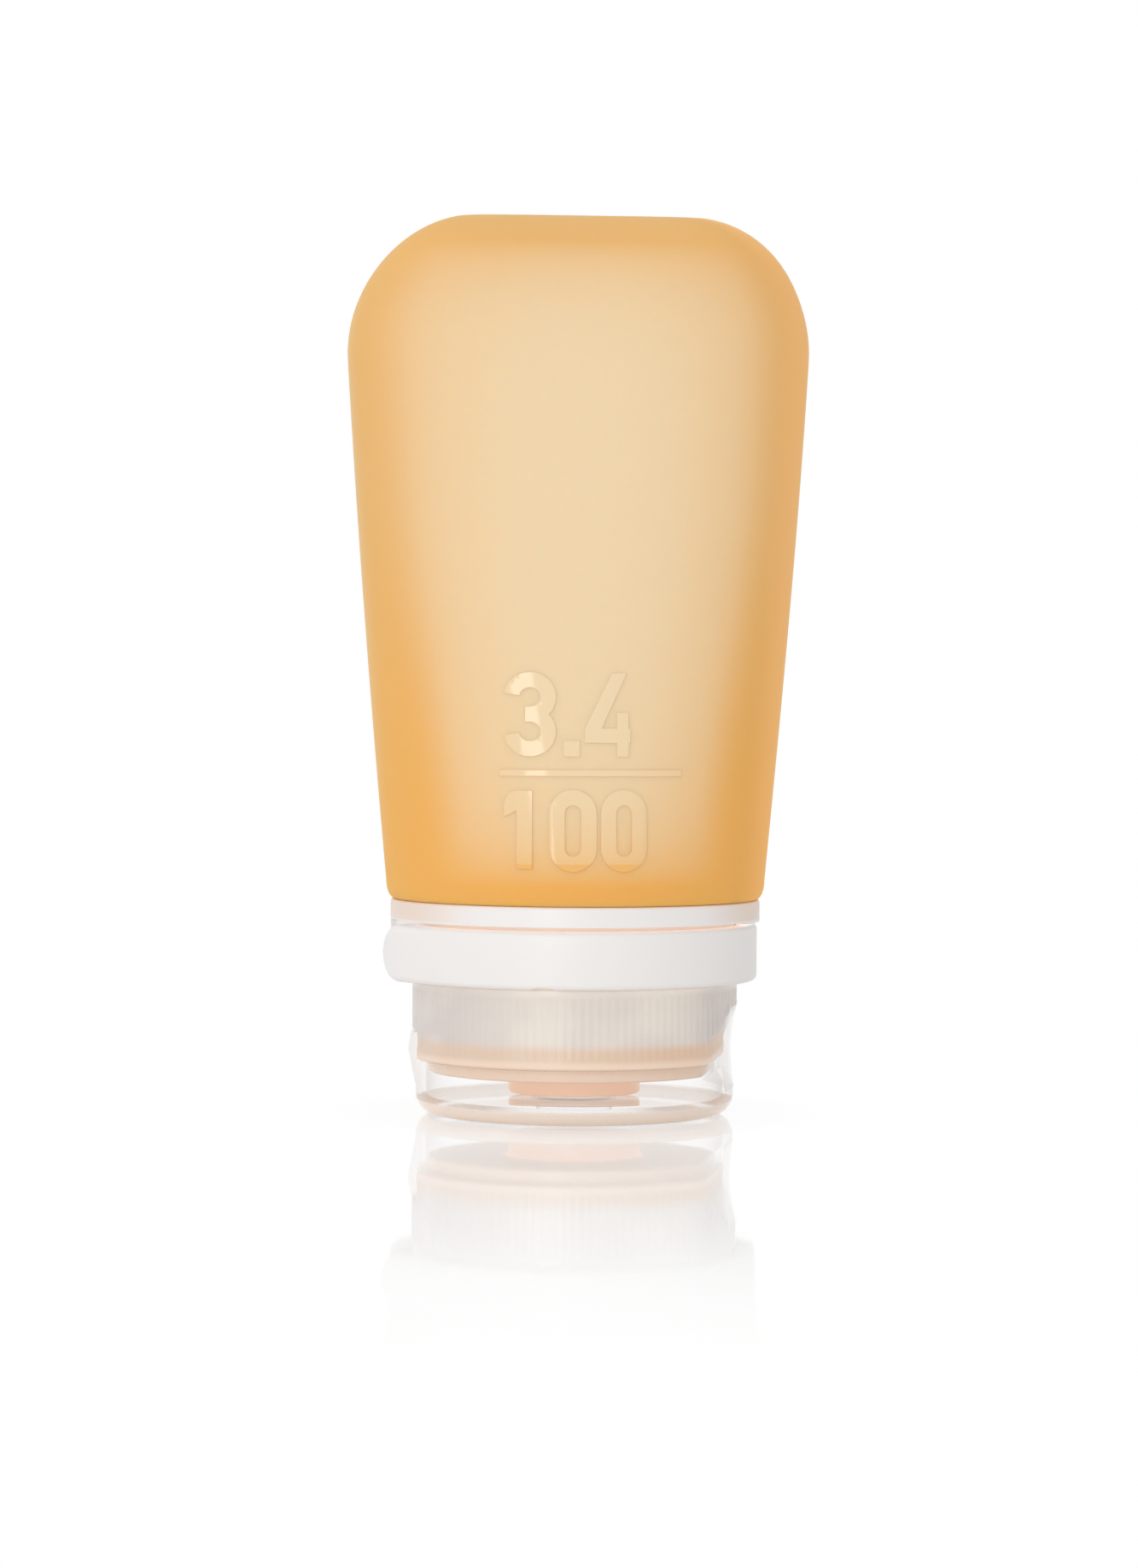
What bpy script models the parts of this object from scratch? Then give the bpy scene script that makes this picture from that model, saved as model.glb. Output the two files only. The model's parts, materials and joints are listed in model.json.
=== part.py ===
"""A squeezable travel bottle, standing upside down on its flip lid.

The soft tube hangs through a stiff collar and folds a lip over the collar's neck. A screw cap
with a pop-open lid closes the neck, and a strap on the collar swings out to hang the bottle.
The origin is on the lid's flat face, +Z runs up the tube, and the wide front looks along -Y.
Angles round the bottle start at the front, -Y, and grow towards +X.
"""

import math

import bmesh
import bpy
from mathutils import Matrix, Vector

# Gaps
FACE_GAP = 0.0003
RUNNING_GAP = 0.0004
CUT_OVERRUN = 0.002
MERGE_DISTANCE = 0.00001

# Screw thread
THREAD_PITCH = 0.0030
THREAD_DEPTH = 0.0008
THREAD_ROOT_WIDTH = 0.0011
THREAD_CREST_WIDTH = 0.0006
THREAD_TURNS = 1.15
THREAD_FADE_SHARE = 0.12
THREAD_TIP_SHARE = 0.1
THREAD_BITE = 0.0002
THREAD_START = 0.0008

# Collar
NECK_BORE = 0.0146
NECK_WALL = 0.0011
NECK_LENGTH = 0.0064
NECK_PILOT_LENGTH = 0.0012
NECK_PILOT_INSET = 0.0006
COLLAR_SHELF = 0.0024
COLLAR_WALL = 0.0016
COLLAR_BROW = 0.0003
COLLAR_RING_HEIGHT = 0.0023
COLLAR_FLOOR = 0.0015
COLLAR_FILLET = 0.0004

# Hanging strap
STRAP_WIDTH = 0.0066
STRAP_THICKNESS = 0.0023
STRAP_EDGE_FILLET = 0.0007
STRAP_SLOT = 0.0005
STRAP_SLOT_END_ANGLE = math.radians(61.6)
STRAP_TAB_ANGLE = math.radians(-78)
STRAP_TAB_FLARE = 0.0012
STRAP_FLARE_ANGLE = math.radians(-60)
STRAP_END_GAP = 0.0005
STRAP_NOTCH_ANGLE = math.radians(-15)
STRAP_NOTCH_WIDTH = 0.0028
STRAP_NOTCH_HEIGHT = 0.00035
LOOP_PIN_ANGLE = math.radians(95)
LOOP_PIN_DEPTH = 0.0013
LOOP_PIN_RADIUS = 0.0007
LOOP_PIN_BITE = 0.0013
LOOP_EAR = 0.0012
KNUCKLE_WALL = 0.0008
KNUCKLE_CLEARANCE = 0.0007
KNUCKLE_WEB_INSET = 0.0003

# Cap base
CAP_WALL = 0.0021
CAP_LEDGE = 0.0015
CAP_EDGE_FILLET = 0.0003
DECK_THICKNESS = 0.0013
SPIGOT_HEIGHT = 0.0016
SPOUT_HOLE_RADIUS = 0.0050
TOWER_SHELF_WIDTH = 0.0014
TOWER_SHELF = 0.0010
TOWER_WALL = 0.0013
TOWER_CLEARANCE = 0.0004

# Valve in the spout
VALVE_FLANGE = 0.0008
VALVE_SKIN = 0.0006
VALVE_SLIT_WIDTH = 0.0002
VALVE_SLIT_MARGIN = 0.0010
RETAINER_HEIGHT = 0.0012

# Flip lid
LID_INSET = 0.0004
LID_HEIGHT = 0.0063
LID_PLATE = 0.0020
LID_WALL = 0.0012
LID_EDGE_FILLET = 0.0022
LID_BOSS_INSET = 0.0002
LID_BOSS_HEIGHT = 0.0007
THUMB_TAB_ANGLE = math.radians(-103)
THUMB_TAB_HALF_ANGLE = math.radians(22)
THUMB_TAB_LIFT = 0.0032
THUMB_TAB_DROP = 0.0034
THUMB_TAB_THICKNESS = 0.0011
THUMB_TAB_BULGE = 0.0005

# Lid hinge, on the side opposite the thumb tab
HINGE_ANGLE = THUMB_TAB_ANGLE + math.pi
HINGE_SETBACK = 0.0020
HINGE_FLAT_BELOW = 0.00135
HINGE_FLAT_ABOVE = 0.0022
HINGE_RELIEF = 0.00015
HINGE_FILM_WALL = 0.00065
HINGE_SLOPE_BELOW = math.radians(45)
HINGE_SLOPE_ABOVE = math.radians(28.5)
SPRING_STRAP_WIDTH = 0.0080
SPRING_STRAP_THICKNESS = 0.00045
SPRING_STRAP_BOW = 0.0003

# Sealing ring
SEAL_THICKNESS = 0.0007
SEAL_OVERHANG = 0.0003

# Soft tube
TUBE_HEIGHT = 0.0784
TUBE_WALL = 0.0020
TUBE_SHOULDER_OVERHANG = 0.00055
TUBE_SHOULDER_FILLET = 0.0010
TUBE_HALF_WIDTH = 0.0269
TUBE_HALF_DEPTH = 0.0165
TUBE_SIDE_BOW = 0.00025
TUBE_FACE_BOW = 0.0004
TUBE_CORNER_RADIUS_WIDE = 0.01565
TUBE_CORNER_RADIUS_DEEP = 0.0090
TUBE_END_INSET_WIDE = 0.0117
TUBE_END_INSET_DEEP = 0.0071
TUBE_LEAD_WIDE = math.radians(-3.6)
TUBE_LEAD_DEEP = math.radians(4.7)
TUBE_ROUNDNESS_SHARES = (2.0, 2.7, 6.0)
TUBE_CROWDING_SHARE = 0.78
TUBE_LIP_THICKNESS = 0.0014

# How finely round shapes are divided
ROUND_STEPS = 48
TUBE_SIDES = 48
TUBE_FACE_ROWS = 7
TUBE_CORNER_ROWS = 8
SHOULDER_ROWS = 3
FILLET_STEPS = 3
THREAD_STEPS = 40

# Radii that follow from the sizes, from the neck's bore outwards
NECK_ROOT_RADIUS = NECK_BORE + NECK_WALL
COLLAR_SOCKET_RADIUS = NECK_BORE + COLLAR_SHELF
COLLAR_WALL_RADIUS = COLLAR_SOCKET_RADIUS + COLLAR_WALL
STRAP_BORE = COLLAR_WALL_RADIUS + RUNNING_GAP
STRAP_RADIUS = STRAP_BORE + STRAP_THICKNESS
COLLAR_RADIUS = STRAP_RADIUS + COLLAR_BROW
TUBE_SHOULDER_RADIUS = COLLAR_RADIUS + TUBE_SHOULDER_OVERHANG
LOOP_PIN_REACH = STRAP_RADIUS - LOOP_PIN_DEPTH
KNUCKLE_RADIUS = LOOP_PIN_RADIUS + KNUCKLE_WALL
CAP_THREAD_BORE = NECK_ROOT_RADIUS + THREAD_DEPTH + RUNNING_GAP
CAP_LIP_BORE = CAP_THREAD_BORE - CAP_LEDGE
CAP_RADIUS = CAP_THREAD_BORE + CAP_WALL
LID_RADIUS = CAP_RADIUS - LID_INSET
HINGE_REACH = LID_RADIUS - HINGE_SETBACK
TUBE_NECK_RADIUS = NECK_BORE - FACE_GAP
TUBE_NECK_BORE = TUBE_NECK_RADIUS - TUBE_WALL
TUBE_LIP_RADIUS = CAP_LIP_BORE - RUNNING_GAP
TOWER_BORE = SPOUT_HOLE_RADIUS + TOWER_SHELF_WIDTH
TOWER_RADIUS = TOWER_BORE + TOWER_WALL
VALVE_HEAD_RADIUS = SPOUT_HOLE_RADIUS - RUNNING_GAP
VALVE_BORE = VALVE_HEAD_RADIUS - VALVE_SKIN

# Heights that follow from the sizes, from the lid up
LID_RIM_Z = LID_HEIGHT
CAP_RIM_Z = LID_RIM_Z + FACE_GAP
LID_HINGE_Z = (LID_RIM_Z + CAP_RIM_Z) / 2
DECK_OUTER_Z = CAP_RIM_Z - SPIGOT_HEIGHT
DECK_INNER_Z = DECK_OUTER_Z + DECK_THICKNESS
TOWER_TIP_Z = LID_PLATE + TOWER_CLEARANCE
VALVE_FLANGE_Z = TOWER_TIP_Z + TOWER_SHELF + FACE_GAP
SEAL_Z = DECK_INNER_Z + FACE_GAP
LIP_Z = SEAL_Z + SEAL_THICKNESS + FACE_GAP
NECK_END_Z = LIP_Z + TUBE_LIP_THICKNESS + FACE_GAP
COLLAR_STEP_Z = NECK_END_Z + NECK_LENGTH
CAP_TOP_Z = COLLAR_STEP_Z - FACE_GAP
STRAP_TOP_Z = COLLAR_STEP_Z + STRAP_WIDTH
RING_LOW_Z = STRAP_TOP_Z + STRAP_SLOT
COLLAR_TOP_Z = RING_LOW_Z + COLLAR_RING_HEIGHT
TUBE_SEAT_Z = COLLAR_TOP_Z + FACE_GAP
TUBE_END_Z = TUBE_SEAT_Z + TUBE_HEIGHT
THREAD_LOW_Z = NECK_END_Z + NECK_PILOT_LENGTH + THREAD_START


def clear_scene():
    for thing in list(bpy.data.objects):
        bpy.data.objects.remove(thing, do_unlink=True)


def new_collection(name):
    collection = bpy.data.collections.new(name)
    bpy.context.scene.collection.children.link(collection)
    return collection


clear_scene()
BOTTLE = new_collection("travel_bottle")
CUTTERS = new_collection("cutters")


def plastic(name, color, roughness, transmission=0.0):
    """One finish of the bottle, as a Principled surface."""
    finish = bpy.data.materials.new(name)
    finish.use_nodes = True
    shader = finish.node_tree.nodes["Principled BSDF"]
    shader.inputs["Base Color"].default_value = (*color, 1.0)
    shader.inputs["Roughness"].default_value = roughness
    shader.inputs["Metallic"].default_value = 0.0
    shader.inputs["Transmission Weight"].default_value = transmission
    return finish


SILICONE = plastic("amber_silicone", (0.82, 0.47, 0.17), 0.55)
WHITE = plastic("white_plastic", (0.86, 0.84, 0.82), 0.35)
FROSTED = plastic("frosted_plastic", (0.74, 0.68, 0.62), 0.4, 0.5)
CLEAR = plastic("clear_plastic", (0.80, 0.74, 0.68), 0.15, 0.8)


def around(radius, angle, z):
    """A point at a radius and an angle from the front."""
    return Vector((radius * math.sin(angle), -radius * math.cos(angle), z))


def rounded(corners):
    """Profile points, with an arc at each corner that gives a fillet radius."""
    points = []
    for index, corner in enumerate(corners):
        here = Vector(corner[:2])
        if len(corner) == 2:
            points.append(here)
            continue
        before = (Vector(corners[index - 1][:2]) - here).normalized()
        after = (Vector(corners[(index + 1) % len(corners)][:2]) - here).normalized()
        half_angle = before.angle(after) / 2
        radius = corner[2]
        center = here + (before + after).normalized() * radius / math.sin(half_angle)
        first = (here + before * radius / math.tan(half_angle) - center).normalized()
        last = (here + after * radius / math.tan(half_angle) - center).normalized()
        for step in range(FILLET_STEPS + 1):
            points.append(center + first.slerp(last, step / FILLET_STEPS) * radius)
    return points


def link(name, mesh, finish=None):
    """Puts a piece with the bottle, or a shape without a finish with the cutters."""
    shape = bpy.data.objects.new(name, mesh)
    if finish:
        mesh.materials.append(finish)
        BOTTLE.objects.link(shape)
    else:
        CUTTERS.objects.link(shape)
        shape.display_type = "WIRE"
        shape.hide_render = True
    return shape


def finish_mesh(name, bm, finish=None):
    """Turns modelling data into an object with its faces pointing out."""
    bmesh.ops.recalc_face_normals(bm, faces=bm.faces)
    mesh = bpy.data.meshes.new(name)
    bm.to_mesh(mesh)
    bm.free()
    mesh.shade_smooth()
    mesh.set_sharp_from_angle(angle=math.radians(30))
    return link(name, mesh, finish)


def turned(name, corners, finish=None, closed=True):
    """A profile in radius and height, turned round the bottle's axis."""
    bm = bmesh.new()
    verts = [bm.verts.new((radius, 0, z)) for radius, z in rounded(corners)]
    for one, other in zip(verts, verts[1:] + verts[:1] if closed else verts[1:]):
        bm.edges.new((one, other))
    mesh = bpy.data.meshes.new(name)
    bm.to_mesh(mesh)
    bm.free()
    shape = link(name, mesh, finish)
    screw = shape.modifiers.new("turn", "SCREW")
    screw.axis = "Z"
    screw.steps = ROUND_STEPS
    screw.render_steps = ROUND_STEPS
    screw.use_merge_vertices = not closed
    screw.merge_threshold = MERGE_DISTANCE
    return shape


def sector(name, corners, start, end, finish=None):
    """A profile in radius and height, swept round the axis from one angle to another."""
    bm = bmesh.new()
    face = bm.faces.new([bm.verts.new(around(radius, start, z)) for radius, z in rounded(corners)])
    steps = max(2, round(ROUND_STEPS * abs(end - start) / math.tau))
    bmesh.ops.spin(bm, geom=[face, *face.edges, *face.verts], cent=(0, 0, 0), axis=(0, 0, 1),
                   angle=end - start, steps=steps)
    return finish_mesh(name, bm, finish)


def prism(name, outline, angle, half_width, finish=None):
    """An outline in reach and height, looking along one angle, made as thick as its width."""
    bm = bmesh.new()
    outward = around(1, angle, 0)
    sideways = Vector((-outward.y, outward.x, 0))
    face = bm.faces.new([bm.verts.new(outward * reach - sideways * half_width + Vector((0, 0, z)))
                         for reach, z in outline])
    pushed = bmesh.ops.extrude_face_region(bm, geom=[face])["geom"]
    moved = [item for item in pushed if isinstance(item, bmesh.types.BMVert)]
    bmesh.ops.translate(bm, verts=moved, vec=sideways * half_width * 2)
    return finish_mesh(name, bm, finish)


def post(name, center, radius, low, high, finish=None):
    """An upright cylinder between two heights."""
    bm = bmesh.new()
    bmesh.ops.create_cone(bm, cap_ends=True, segments=ROUND_STEPS // 3, radius1=radius,
                          radius2=radius, depth=high - low)
    bmesh.ops.translate(bm, verts=bm.verts, vec=(center.x, center.y, (low + high) / 2))
    return finish_mesh(name, bm, finish)


def skin(bm, rings):
    """Joins rings of points, each to the next, with faces, and gives back the rings."""
    rows = [[bm.verts.new(point) for point in ring] for ring in rings]
    for row, following in zip(rows, rows[1:]):
        for index in range(len(row)):
            beyond = (index + 1) % len(row)
            bm.faces.new((row[index], row[beyond], following[beyond], following[index]))
    return rows


def combine(shape, other, operation):
    """Cuts a shape with another one, or joins it to the other one."""
    step = shape.modifiers.new(other.name, "BOOLEAN")
    step.operation = operation
    step.solver = "EXACT"
    step.object = other
    return shape


def thread(name, wall_radius, crest_radius, low_z, turn_start):
    """A right-handed screw thread that fades out at both ends."""
    into_wall = math.copysign(THREAD_BITE, wall_radius - crest_radius)
    rings = []
    count = round(THREAD_STEPS * THREAD_TURNS)
    for step in range(count + 1):
        share = step / count
        turns = THREAD_TURNS * share
        height = min(1.0, share / THREAD_FADE_SHARE, (1 - share) / THREAD_FADE_SHARE)
        root = wall_radius + into_wall
        crest = root + (crest_radius - root) * max(THREAD_TIP_SHARE, height)
        z = low_z + THREAD_PITCH * turns
        turn = turn_start + math.tau * turns
        rings.append([around(root, turn, z - THREAD_ROOT_WIDTH / 2),
                      around(crest, turn, z - THREAD_CREST_WIDTH / 2),
                      around(crest, turn, z + THREAD_CREST_WIDTH / 2),
                      around(root, turn, z + THREAD_ROOT_WIDTH / 2)])
    bm = bmesh.new()
    rows = skin(bm, rings)
    bm.faces.new(rows[0])
    bm.faces.new(rows[-1])
    return finish_mesh(name, bm)


def pivot(name, place, parent=None):
    """An empty on a joint's axis, which carries the pieces that move there."""
    empty = bpy.data.objects.new(name, None)
    empty.empty_display_size = CAP_RADIUS
    empty.location = place
    empty.parent = parent
    BOTTLE.objects.link(empty)
    return empty


def carry(empty, *pieces):
    """Hangs pieces on a joint's empty, where they are."""
    for piece in pieces:
        piece.parent = empty
        piece.matrix_parent_inverse = Matrix.Translation(-empty.location)


def corner_reach(z, widest, radius, end_inset):
    """Where the rounded end's corner stands out at a height, in one direction."""
    center = widest - radius
    center_z = corner_center_z(radius, end_inset)
    return center + math.sqrt(max(0.0, radius ** 2 - (z - center_z) ** 2))


def corner_center_z(radius, end_inset):
    return TUBE_END_Z - math.sqrt(radius ** 2 - (radius - end_inset) ** 2)


def tube_reach(z, widest, radius, end_inset, lead, bow):
    """Half the tube's size at a height: a bowed side, then the rounded corner of the end."""
    low_z = TUBE_SEAT_Z + TUBE_SHOULDER_FILLET
    high_z = corner_center_z(radius, end_inset) + radius * math.sin(lead)
    if z >= high_z:
        return corner_reach(z, widest, radius, end_inset)
    share = (z - low_z) / (high_z - low_z)
    top = corner_reach(high_z, widest, radius, end_inset)
    line = TUBE_SHOULDER_RADIUS + (top - TUBE_SHOULDER_RADIUS) * share
    return line + bow * 4 * share * (1 - share)


def tube_roundness(z, wide_z):
    """How square the section is: 2 is an ellipse, and more is squarer."""
    at_shoulder, at_widest, at_end = TUBE_ROUNDNESS_SHARES
    if z < wide_z:
        share = (z - TUBE_SEAT_Z) / (wide_z - TUBE_SEAT_Z)
        return at_shoulder + (at_widest - at_shoulder) * share ** 2 * (3 - 2 * share)
    share = (z - wide_z) / (TUBE_END_Z - wide_z)
    return at_widest + (at_end - at_widest) * share ** 3


def tube_ring(half_width, half_depth, roundness, z):
    """A squarish oval, with its points crowded a little towards the tube's two edges."""
    ring = []
    for step in range(TUBE_SIDES):
        turn = math.tau * step / TUBE_SIDES
        along = math.cos(turn)
        across = TUBE_CROWDING_SHARE * math.sin(turn)
        stretch = (abs(along) / half_width) ** roundness + (abs(across) / half_depth) ** roundness
        reach = stretch ** (-1 / roundness)
        ring.append(Vector((along * reach, across * reach, z)))
    return ring


def make_squeeze_tube():
    """The soft body: flat-ended, squarish and wide at the top, round where it enters the collar."""
    wide_z = corner_center_z(TUBE_CORNER_RADIUS_WIDE, TUBE_END_INSET_WIDE)
    rings = []
    for step in range(TUBE_CORNER_ROWS + 1):
        share = 1 - step / TUBE_CORNER_ROWS
        highest = math.asin((TUBE_END_Z - wide_z) / TUBE_CORNER_RADIUS_WIDE)
        angle = TUBE_LEAD_WIDE + (highest - TUBE_LEAD_WIDE) * share
        rings.append(tube_body_ring(wide_z + TUBE_CORNER_RADIUS_WIDE * math.sin(angle), wide_z))
    face_top_z = wide_z + TUBE_CORNER_RADIUS_WIDE * math.sin(TUBE_LEAD_WIDE)
    face_low_z = TUBE_SEAT_Z + TUBE_SHOULDER_FILLET
    for step in range(1, TUBE_FACE_ROWS + 1):
        share = step / TUBE_FACE_ROWS
        rings.append(tube_body_ring(face_top_z + (face_low_z - face_top_z) * share, wide_z))
    for step in range(1, SHOULDER_ROWS + 1):
        angle = math.pi / 2 * step / SHOULDER_ROWS
        radius = TUBE_SHOULDER_RADIUS - TUBE_SHOULDER_FILLET * (1 - math.cos(angle))
        z = TUBE_SEAT_Z + TUBE_SHOULDER_FILLET * (1 - math.sin(angle))
        rings.append(tube_ring(radius, radius, TUBE_ROUNDNESS_SHARES[0], z))
    wide_neck = COLLAR_SOCKET_RADIUS - FACE_GAP
    step_z = COLLAR_STEP_Z + COLLAR_FLOOR + FACE_GAP
    tail_z = LIP_Z + TUBE_LIP_THICKNESS / 2
    for radius, z in ((wide_neck, TUBE_SEAT_Z), (wide_neck, step_z),
                      (TUBE_NECK_RADIUS, step_z), (TUBE_NECK_RADIUS, tail_z)):
        rings.append(tube_ring(radius, radius, TUBE_ROUNDNESS_SHARES[0], z))
    bm = bmesh.new()
    rows = skin(bm, rings)
    bm.faces.new(rows[0])
    tube = finish_mesh("squeeze_tube", bm, SILICONE)
    wall = tube.modifiers.new("wall", "SOLIDIFY")
    wall.thickness = TUBE_WALL
    wall.offset = -1
    wall.use_even_offset = True
    lip = turned("tube_lip", [
        (TUBE_NECK_BORE, LIP_Z + TUBE_LIP_THICKNESS),
        (TUBE_LIP_RADIUS, LIP_Z + TUBE_LIP_THICKNESS),
        (TUBE_LIP_RADIUS, LIP_Z, TUBE_LIP_THICKNESS / 3),
        (TUBE_NECK_BORE, LIP_Z)])
    return combine(tube, lip, "UNION")


def tube_body_ring(z, wide_z):
    half_width = tube_reach(z, TUBE_HALF_WIDTH, TUBE_CORNER_RADIUS_WIDE, TUBE_END_INSET_WIDE,
                            TUBE_LEAD_WIDE, TUBE_SIDE_BOW)
    half_depth = tube_reach(z, TUBE_HALF_DEPTH, TUBE_CORNER_RADIUS_DEEP, TUBE_END_INSET_DEEP,
                            TUBE_LEAD_DEEP, TUBE_FACE_BOW)
    return tube_ring(half_width, half_depth, tube_roundness(z, wide_z), z)


def make_collar():
    """The stiff collar: a ring under the tube, a threaded neck, and a pocket for the strap."""
    pilot = NECK_ROOT_RADIUS - NECK_PILOT_INSET
    pilot_z = NECK_END_Z + NECK_PILOT_LENGTH
    collar = turned("collar", [
        (COLLAR_SOCKET_RADIUS, COLLAR_TOP_Z),
        (COLLAR_RADIUS, COLLAR_TOP_Z, COLLAR_FILLET),
        (COLLAR_RADIUS, COLLAR_STEP_Z, STRAP_EDGE_FILLET),
        (NECK_ROOT_RADIUS, COLLAR_STEP_Z),
        (NECK_ROOT_RADIUS, pilot_z),
        (pilot, pilot_z - NECK_PILOT_INSET),
        (pilot, NECK_END_Z),
        (NECK_BORE, NECK_END_Z),
        (NECK_BORE, COLLAR_STEP_Z + COLLAR_FLOOR),
        (COLLAR_SOCKET_RADIUS, COLLAR_STEP_Z + COLLAR_FLOOR)], WHITE)
    combine(collar, thread("neck_thread", NECK_ROOT_RADIUS, NECK_ROOT_RADIUS + THREAD_DEPTH,
                           THREAD_LOW_Z, 0.0), "UNION")
    low_z = COLLAR_STEP_Z - CUT_OVERRUN
    root_top_z = STRAP_TOP_Z + FACE_GAP
    tab_end = strap_tab_end() - STRAP_END_GAP / STRAP_RADIUS
    pocket_gap_angle = FACE_GAP / STRAP_RADIUS
    cuts = (("strap_pocket_front", tab_end, STRAP_SLOT_END_ANGLE, low_z, RING_LOW_Z),
            ("strap_pocket_root", STRAP_SLOT_END_ANGLE - pocket_gap_angle, LOOP_PIN_ANGLE, low_z,
             root_top_z))
    for name, start, end, low, high in cuts:
        combine(collar, sector(name, box_profile(COLLAR_WALL_RADIUS, COLLAR_RADIUS + CUT_OVERRUN,
                                                 low, high), start, end), "DIFFERENCE")
    pin = around(LOOP_PIN_REACH, LOOP_PIN_ANGLE, 0)
    ear_z = COLLAR_STEP_Z + LOOP_EAR
    pocket = post("knuckle_pocket", pin, KNUCKLE_RADIUS + KNUCKLE_CLEARANCE, ear_z, root_top_z)
    ear = post("hinge_ear", pin, COLLAR_RADIUS - LOOP_PIN_REACH, COLLAR_STEP_Z, ear_z)
    hole = post("pin_hole", pin, LOOP_PIN_RADIUS + FACE_GAP, low_z,
                root_top_z + LOOP_PIN_BITE + FACE_GAP)
    combine(collar, pocket, "DIFFERENCE")
    combine(collar, ear, "UNION")
    return combine(collar, hole, "DIFFERENCE")


def box_profile(inner, outer, low, high):
    return [(inner, high), (outer, high), (outer, low), (inner, low)]


def strap_tab_end():
    """The angle of the strap's free end, past the middle of its round tab."""
    return STRAP_TAB_ANGLE - STRAP_WIDTH / 2 / STRAP_RADIUS


def strap_root_angle():
    """The angle where the strap's full width ends, beside its knuckle."""
    return LOOP_PIN_ANGLE - (KNUCKLE_RADIUS + STRAP_EDGE_FILLET) / LOOP_PIN_REACH


def strap_section(angle, half_width):
    """The strap's rounded section at one angle, pushed outwards where the tab flares."""
    share = (STRAP_FLARE_ANGLE - angle) / (STRAP_FLARE_ANGLE - strap_tab_end())
    share = min(1.0, max(0.0, share))
    flare = STRAP_TAB_FLARE * share ** 2 * (3 - 2 * share)
    fillet = min(STRAP_EDGE_FILLET, half_width - FACE_GAP / 2)
    middle_z = (COLLAR_STEP_Z + STRAP_TOP_Z) / 2
    inner = STRAP_BORE + flare
    outer = STRAP_RADIUS + flare
    low = middle_z - half_width
    high = middle_z + half_width
    corners = [(inner, high, fillet / 2), (outer, high, fillet), (outer, low, fillet),
               (inner, low, fillet / 2)]
    return [around(radius, angle, z) for radius, z in rounded(corners)]


def make_hang_loop():
    """The strap round the front of the collar, with its round finger tab and its pivot."""
    half_width = STRAP_WIDTH / 2
    root = strap_root_angle()
    arc_steps = round(ROUND_STEPS * (root - STRAP_TAB_ANGLE) / math.tau)
    rings = []
    for step in range(arc_steps + 1):
        angle = root + (STRAP_TAB_ANGLE - root) * step / arc_steps
        rings.append(strap_section(angle, half_width))
    for step in range(1, 2 * FILLET_STEPS):
        turn = math.pi / 2 * step / (2 * FILLET_STEPS)
        angle = STRAP_TAB_ANGLE - half_width * math.sin(turn) / STRAP_RADIUS
        rings.append(strap_section(angle, half_width * math.cos(turn)))
    bm = bmesh.new()
    rows = skin(bm, rings)
    bm.faces.new(rows[0])
    bm.faces.new(rows[-1])
    loop = finish_mesh("hang_loop", bm, WHITE)
    low_z = COLLAR_STEP_Z + LOOP_EAR + FACE_GAP
    pin = around(LOOP_PIN_REACH, LOOP_PIN_ANGLE, 0)
    web = sector("loop_web", box_profile(STRAP_BORE + KNUCKLE_WEB_INSET,
                                         STRAP_RADIUS - KNUCKLE_WEB_INSET, low_z, STRAP_TOP_Z),
                 root - STRAP_EDGE_FILLET / STRAP_RADIUS, LOOP_PIN_ANGLE)
    combine(loop, web, "UNION")
    combine(loop, post("loop_knuckle", pin, KNUCKLE_RADIUS, low_z, STRAP_TOP_Z), "UNION")
    combine(loop, post("loop_pin", pin, LOOP_PIN_RADIUS, COLLAR_STEP_Z + FACE_GAP,
                       STRAP_TOP_Z + FACE_GAP + LOOP_PIN_BITE), "UNION")
    return combine(loop, strap_notch(), "DIFFERENCE")


def strap_notch():
    """The shallow arch in the strap's lower edge, cut by a round bar that points outwards."""
    half_chord = STRAP_NOTCH_WIDTH / 2
    radius = (half_chord ** 2 + STRAP_NOTCH_HEIGHT ** 2) / (2 * STRAP_NOTCH_HEIGHT)
    bm = bmesh.new()
    bmesh.ops.create_cone(bm, cap_ends=True, segments=ROUND_STEPS, radius1=radius,
                          radius2=radius, depth=STRAP_THICKNESS + 2 * CUT_OVERRUN)
    outward = around(1, STRAP_NOTCH_ANGLE, 0)
    bmesh.ops.rotate(bm, verts=bm.verts, matrix=outward.to_track_quat("Z", "Y").to_matrix())
    center_z = COLLAR_STEP_Z + STRAP_NOTCH_HEIGHT - radius
    middle = STRAP_RADIUS - STRAP_THICKNESS / 2
    bmesh.ops.translate(bm, verts=bm.verts, vec=outward * middle + Vector((0, 0, center_z)))
    return finish_mesh("strap_notch", bm)


def make_cap_seal():
    """The flat sealing ring between the cap's deck and the tube's lip."""
    return turned("cap_seal", box_profile(TUBE_NECK_BORE - SEAL_OVERHANG, TUBE_LIP_RADIUS,
                                          SEAL_Z, SEAL_Z + SEAL_THICKNESS), SILICONE)


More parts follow.
